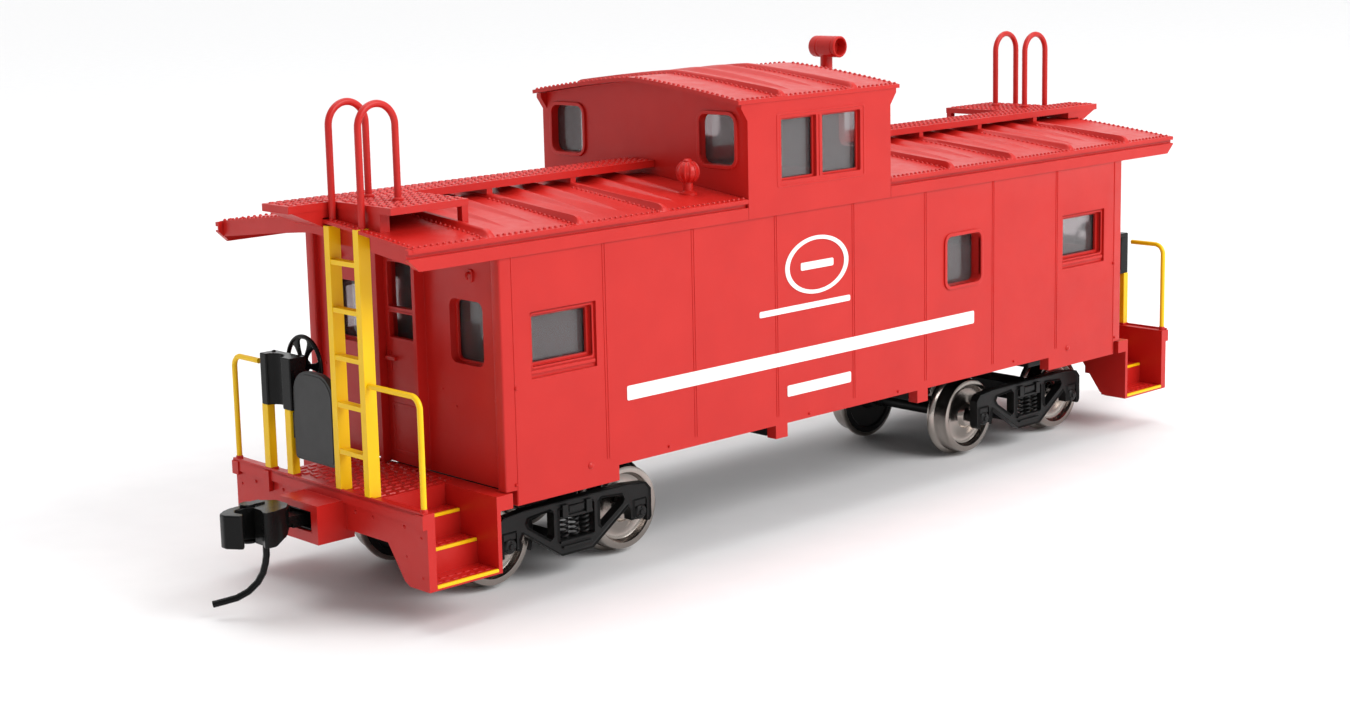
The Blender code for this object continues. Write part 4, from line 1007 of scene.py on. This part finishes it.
def make_underside():
    for node, name, look, slot, bevel in (
        ("underframe", "centre_sill", CAST_BLACK, "black_plastic", 0.15),
        ("floor_pan", "floor", CAST_BLACK, "black_plastic", 0.15),
        ("air_reservoir", "air_tank", CAST_BLACK, "black_plastic", 0.12),
        ("brake_cylinder", "brake_cylinder_body", CAST_BLACK, "black_plastic", 0.12),
        ("steel_weight", "weight_bar", STEEL, "nickel_steel", 0.3),
    ):
        piece(name, from_cad(node), look, slot=slot, bevel=bevel, replaces=[node])
    for letter in "ab":
        for node, name in (("truck_screw_", "truck_bolt_"), ("coupler_box_screw_", "box_screw_")):
            piece(name + letter, from_cad(node + letter), STEEL, slot="nickel_steel", bevel=0.08,
                  replaces=[node + letter])


# ---- Couplers --------------------------------------------------------------------------------

def make_couplers():
    both_ends("draft_box", lambda: from_cad("coupler_box_a"), BLACK, slot="black_plastic",
              bevel=0.08, replaces=["coupler_box_{}"])
    both_ends("coupler_head", lambda: from_cad("coupler_a"), BLACK, "coupler_{}",
              slot="black_plastic", bevel=0.13, segments=3, replaces=["coupler_{}"])
    both_ends("knuckle_hook", lambda: from_cad("knuckle_a"), BLACK, "knuckle_{}",
              slot="black_plastic", bevel=0.25, segments=4, replaces=["knuckle_{}"])


# ---- Marks -----------------------------------------------------------------------------------

def make_marks():
    """Plain white marks printed on both sides: a ring emblem and three bars."""
    bm = bmesh.new()
    proud = 0.07
    for side in (-1, 1):
        low, high = side * (BODY_Y - 0.05), side * (BODY_Y + proud)
        middle = side * 6.4
        rings = [arc((middle, 30.45), radius, 0, 355, 71) for radius in (3.4, 2.95)]
        ring = [[(middle + 1.6 * (u - middle), v) for u, v in circle] for circle in rings]
        add_prism(bm, "y", ring, low, high)
        for x0, x1, z0, z1 in ((-9.2, -3.6, 30.0, 30.9), (-16.2, -0.7, 25.4, 26.1),
                               (-37.0, 22.7, 19.3, 20.9), (-11.7, -0.65, 15.5, 16.8)):
            bar = sorted((-side * x0, -side * x1))
            add_prism(bm, "y", [rounded(*bar, z0, z1, 0.2)], low, high)
    piece("side_marks", bm, WHITE)


def make_glazing():
    for node in ("near_side", "far_side", "end_a", "end_b", "cupola"):
        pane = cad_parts["glazing_" + node]
        pane.data.materials.clear()
        pane.data.materials.append(GLASS)


# ---- Stage -----------------------------------------------------------------------------------

CAMERA_TARGET = (-31.532, 0.0, 27.763)
CAMERA_DISTANCE = 249.778
CAMERA_AZIMUTH, CAMERA_ELEVATION, CAMERA_ROLL = -40.899, 9.755, -1.752
CAMERA_LENS = 57.822
CAMERA_SHIFT = (0.0867, -0.0402)


def make_camera():
    azimuth, elevation = math.radians(CAMERA_AZIMUTH), math.radians(CAMERA_ELEVATION)
    back = Vector((math.sin(azimuth) * math.cos(elevation),
                   -math.cos(azimuth) * math.cos(elevation), math.sin(elevation)))
    target = Vector(CAMERA_TARGET) + Vector((0, 0, RAIL))
    data = bpy.data.cameras.new("camera")
    data.sensor_fit = "HORIZONTAL"
    data.sensor_width = 36
    data.lens = CAMERA_LENS
    data.shift_x, data.shift_y = CAMERA_SHIFT
    data.clip_start, data.clip_end = 0.01, 20
    camera = bpy.data.objects.new("camera", data)
    bpy.context.scene.collection.objects.link(camera)
    right = (-back).cross(Vector((0, 0, 1))).normalized()
    up = right.cross(-back)
    roll = math.radians(CAMERA_ROLL)
    across = math.cos(roll) * right + math.sin(roll) * up
    upward = math.cos(roll) * up - math.sin(roll) * right
    axes = Matrix((across, upward, back)).transposed().to_4x4()
    axes.translation = (target + back * CAMERA_DISTANCE) * MM
    camera.matrix_world = axes
    bpy.context.scene.camera = camera


def area_light(name, place, target, size, power):
    data = bpy.data.lights.new(name, "AREA")
    data.shape = "RECTANGLE"
    data.size, data.size_y = size
    data.energy = power
    light = bpy.data.objects.new(name, data)
    bpy.context.scene.collection.objects.link(light)
    light.location = place
    light.rotation_euler = (Vector(target) - Vector(place)).to_track_quat("-Z", "Y").to_euler()


def studio_world():
    """White as a backdrop, while the light it throws is stronger from behind the car."""
    world = bpy.data.worlds.new("studio")
    world.use_nodes = True
    nodes, links = world.node_tree.nodes, world.node_tree.links
    place = nodes.new("ShaderNodeTexCoord")
    facing = nodes.new("ShaderNodeVectorMath")
    facing.operation = "DOT_PRODUCT"
    facing.inputs[1].default_value = (0.65, 0.75, 0.1)
    links.new(place.outputs["Generated"], facing.inputs[0])
    level = nodes.new("ShaderNodeMapRange")
    level.inputs["From Min"].default_value = -1.0
    level.inputs["To Min"].default_value, level.inputs["To Max"].default_value = 0.38, 1.1
    links.new(facing.outputs["Value"], level.inputs["Value"])
    path = nodes.new("ShaderNodeLightPath")
    seen = nodes.new("ShaderNodeMix")
    seen.inputs["B"].default_value = 1.0
    links.new(path.outputs["Is Camera Ray"], seen.inputs["Factor"])
    links.new(level.outputs["Result"], seen.inputs["A"])
    sky = nodes["Background"]
    sky.inputs["Color"].default_value = (1, 1, 1, 1)
    links.new(seen.outputs["Result"], sky.inputs["Strength"])
    return world


def make_stage():
    bm = bmesh.new()
    bmesh.ops.create_grid(bm, x_segments=1, y_segments=1, size=3)
    mesh = bpy.data.meshes.new("floor")
    bm.to_mesh(mesh)
    bm.free()
    floor = bpy.data.objects.new("studio_floor", mesh)
    bpy.context.scene.collection.objects.link(floor)
    mesh.materials.append(moulded("pale_floor", (0.76, 0.76, 0.765), (0.78, 0.78, 0.785), 0.8,
                                  0.005, 3, specular=0.2))

    bpy.context.scene.world = studio_world()
    middle_of_car = (0, 0, 0.025)
    area_light("key", (0.15, -0.55, 0.40), middle_of_car, (0.5, 0.35), 4.15)
    sun = bpy.data.lights.new("overhead", "SUN")
    sun.energy, sun.angle = 1.5, math.radians(50)
    light = bpy.data.objects.new("overhead", sun)
    bpy.context.scene.collection.objects.link(light)
    light.rotation_euler = (math.radians(-8), math.radians(6), 0)
    bpy.context.scene.view_settings.view_transform = "Standard"


make_camera()
make_stage()
make_body()
make_windows()
make_ends()
make_main_roofs()
make_cupola()
make_roof_fittings()
make_running_boards()
make_wirework()
make_hand_brake()
make_platforms()
make_trucks()
make_wheelsets()
make_underside()
make_couplers()
make_marks()
make_glazing()
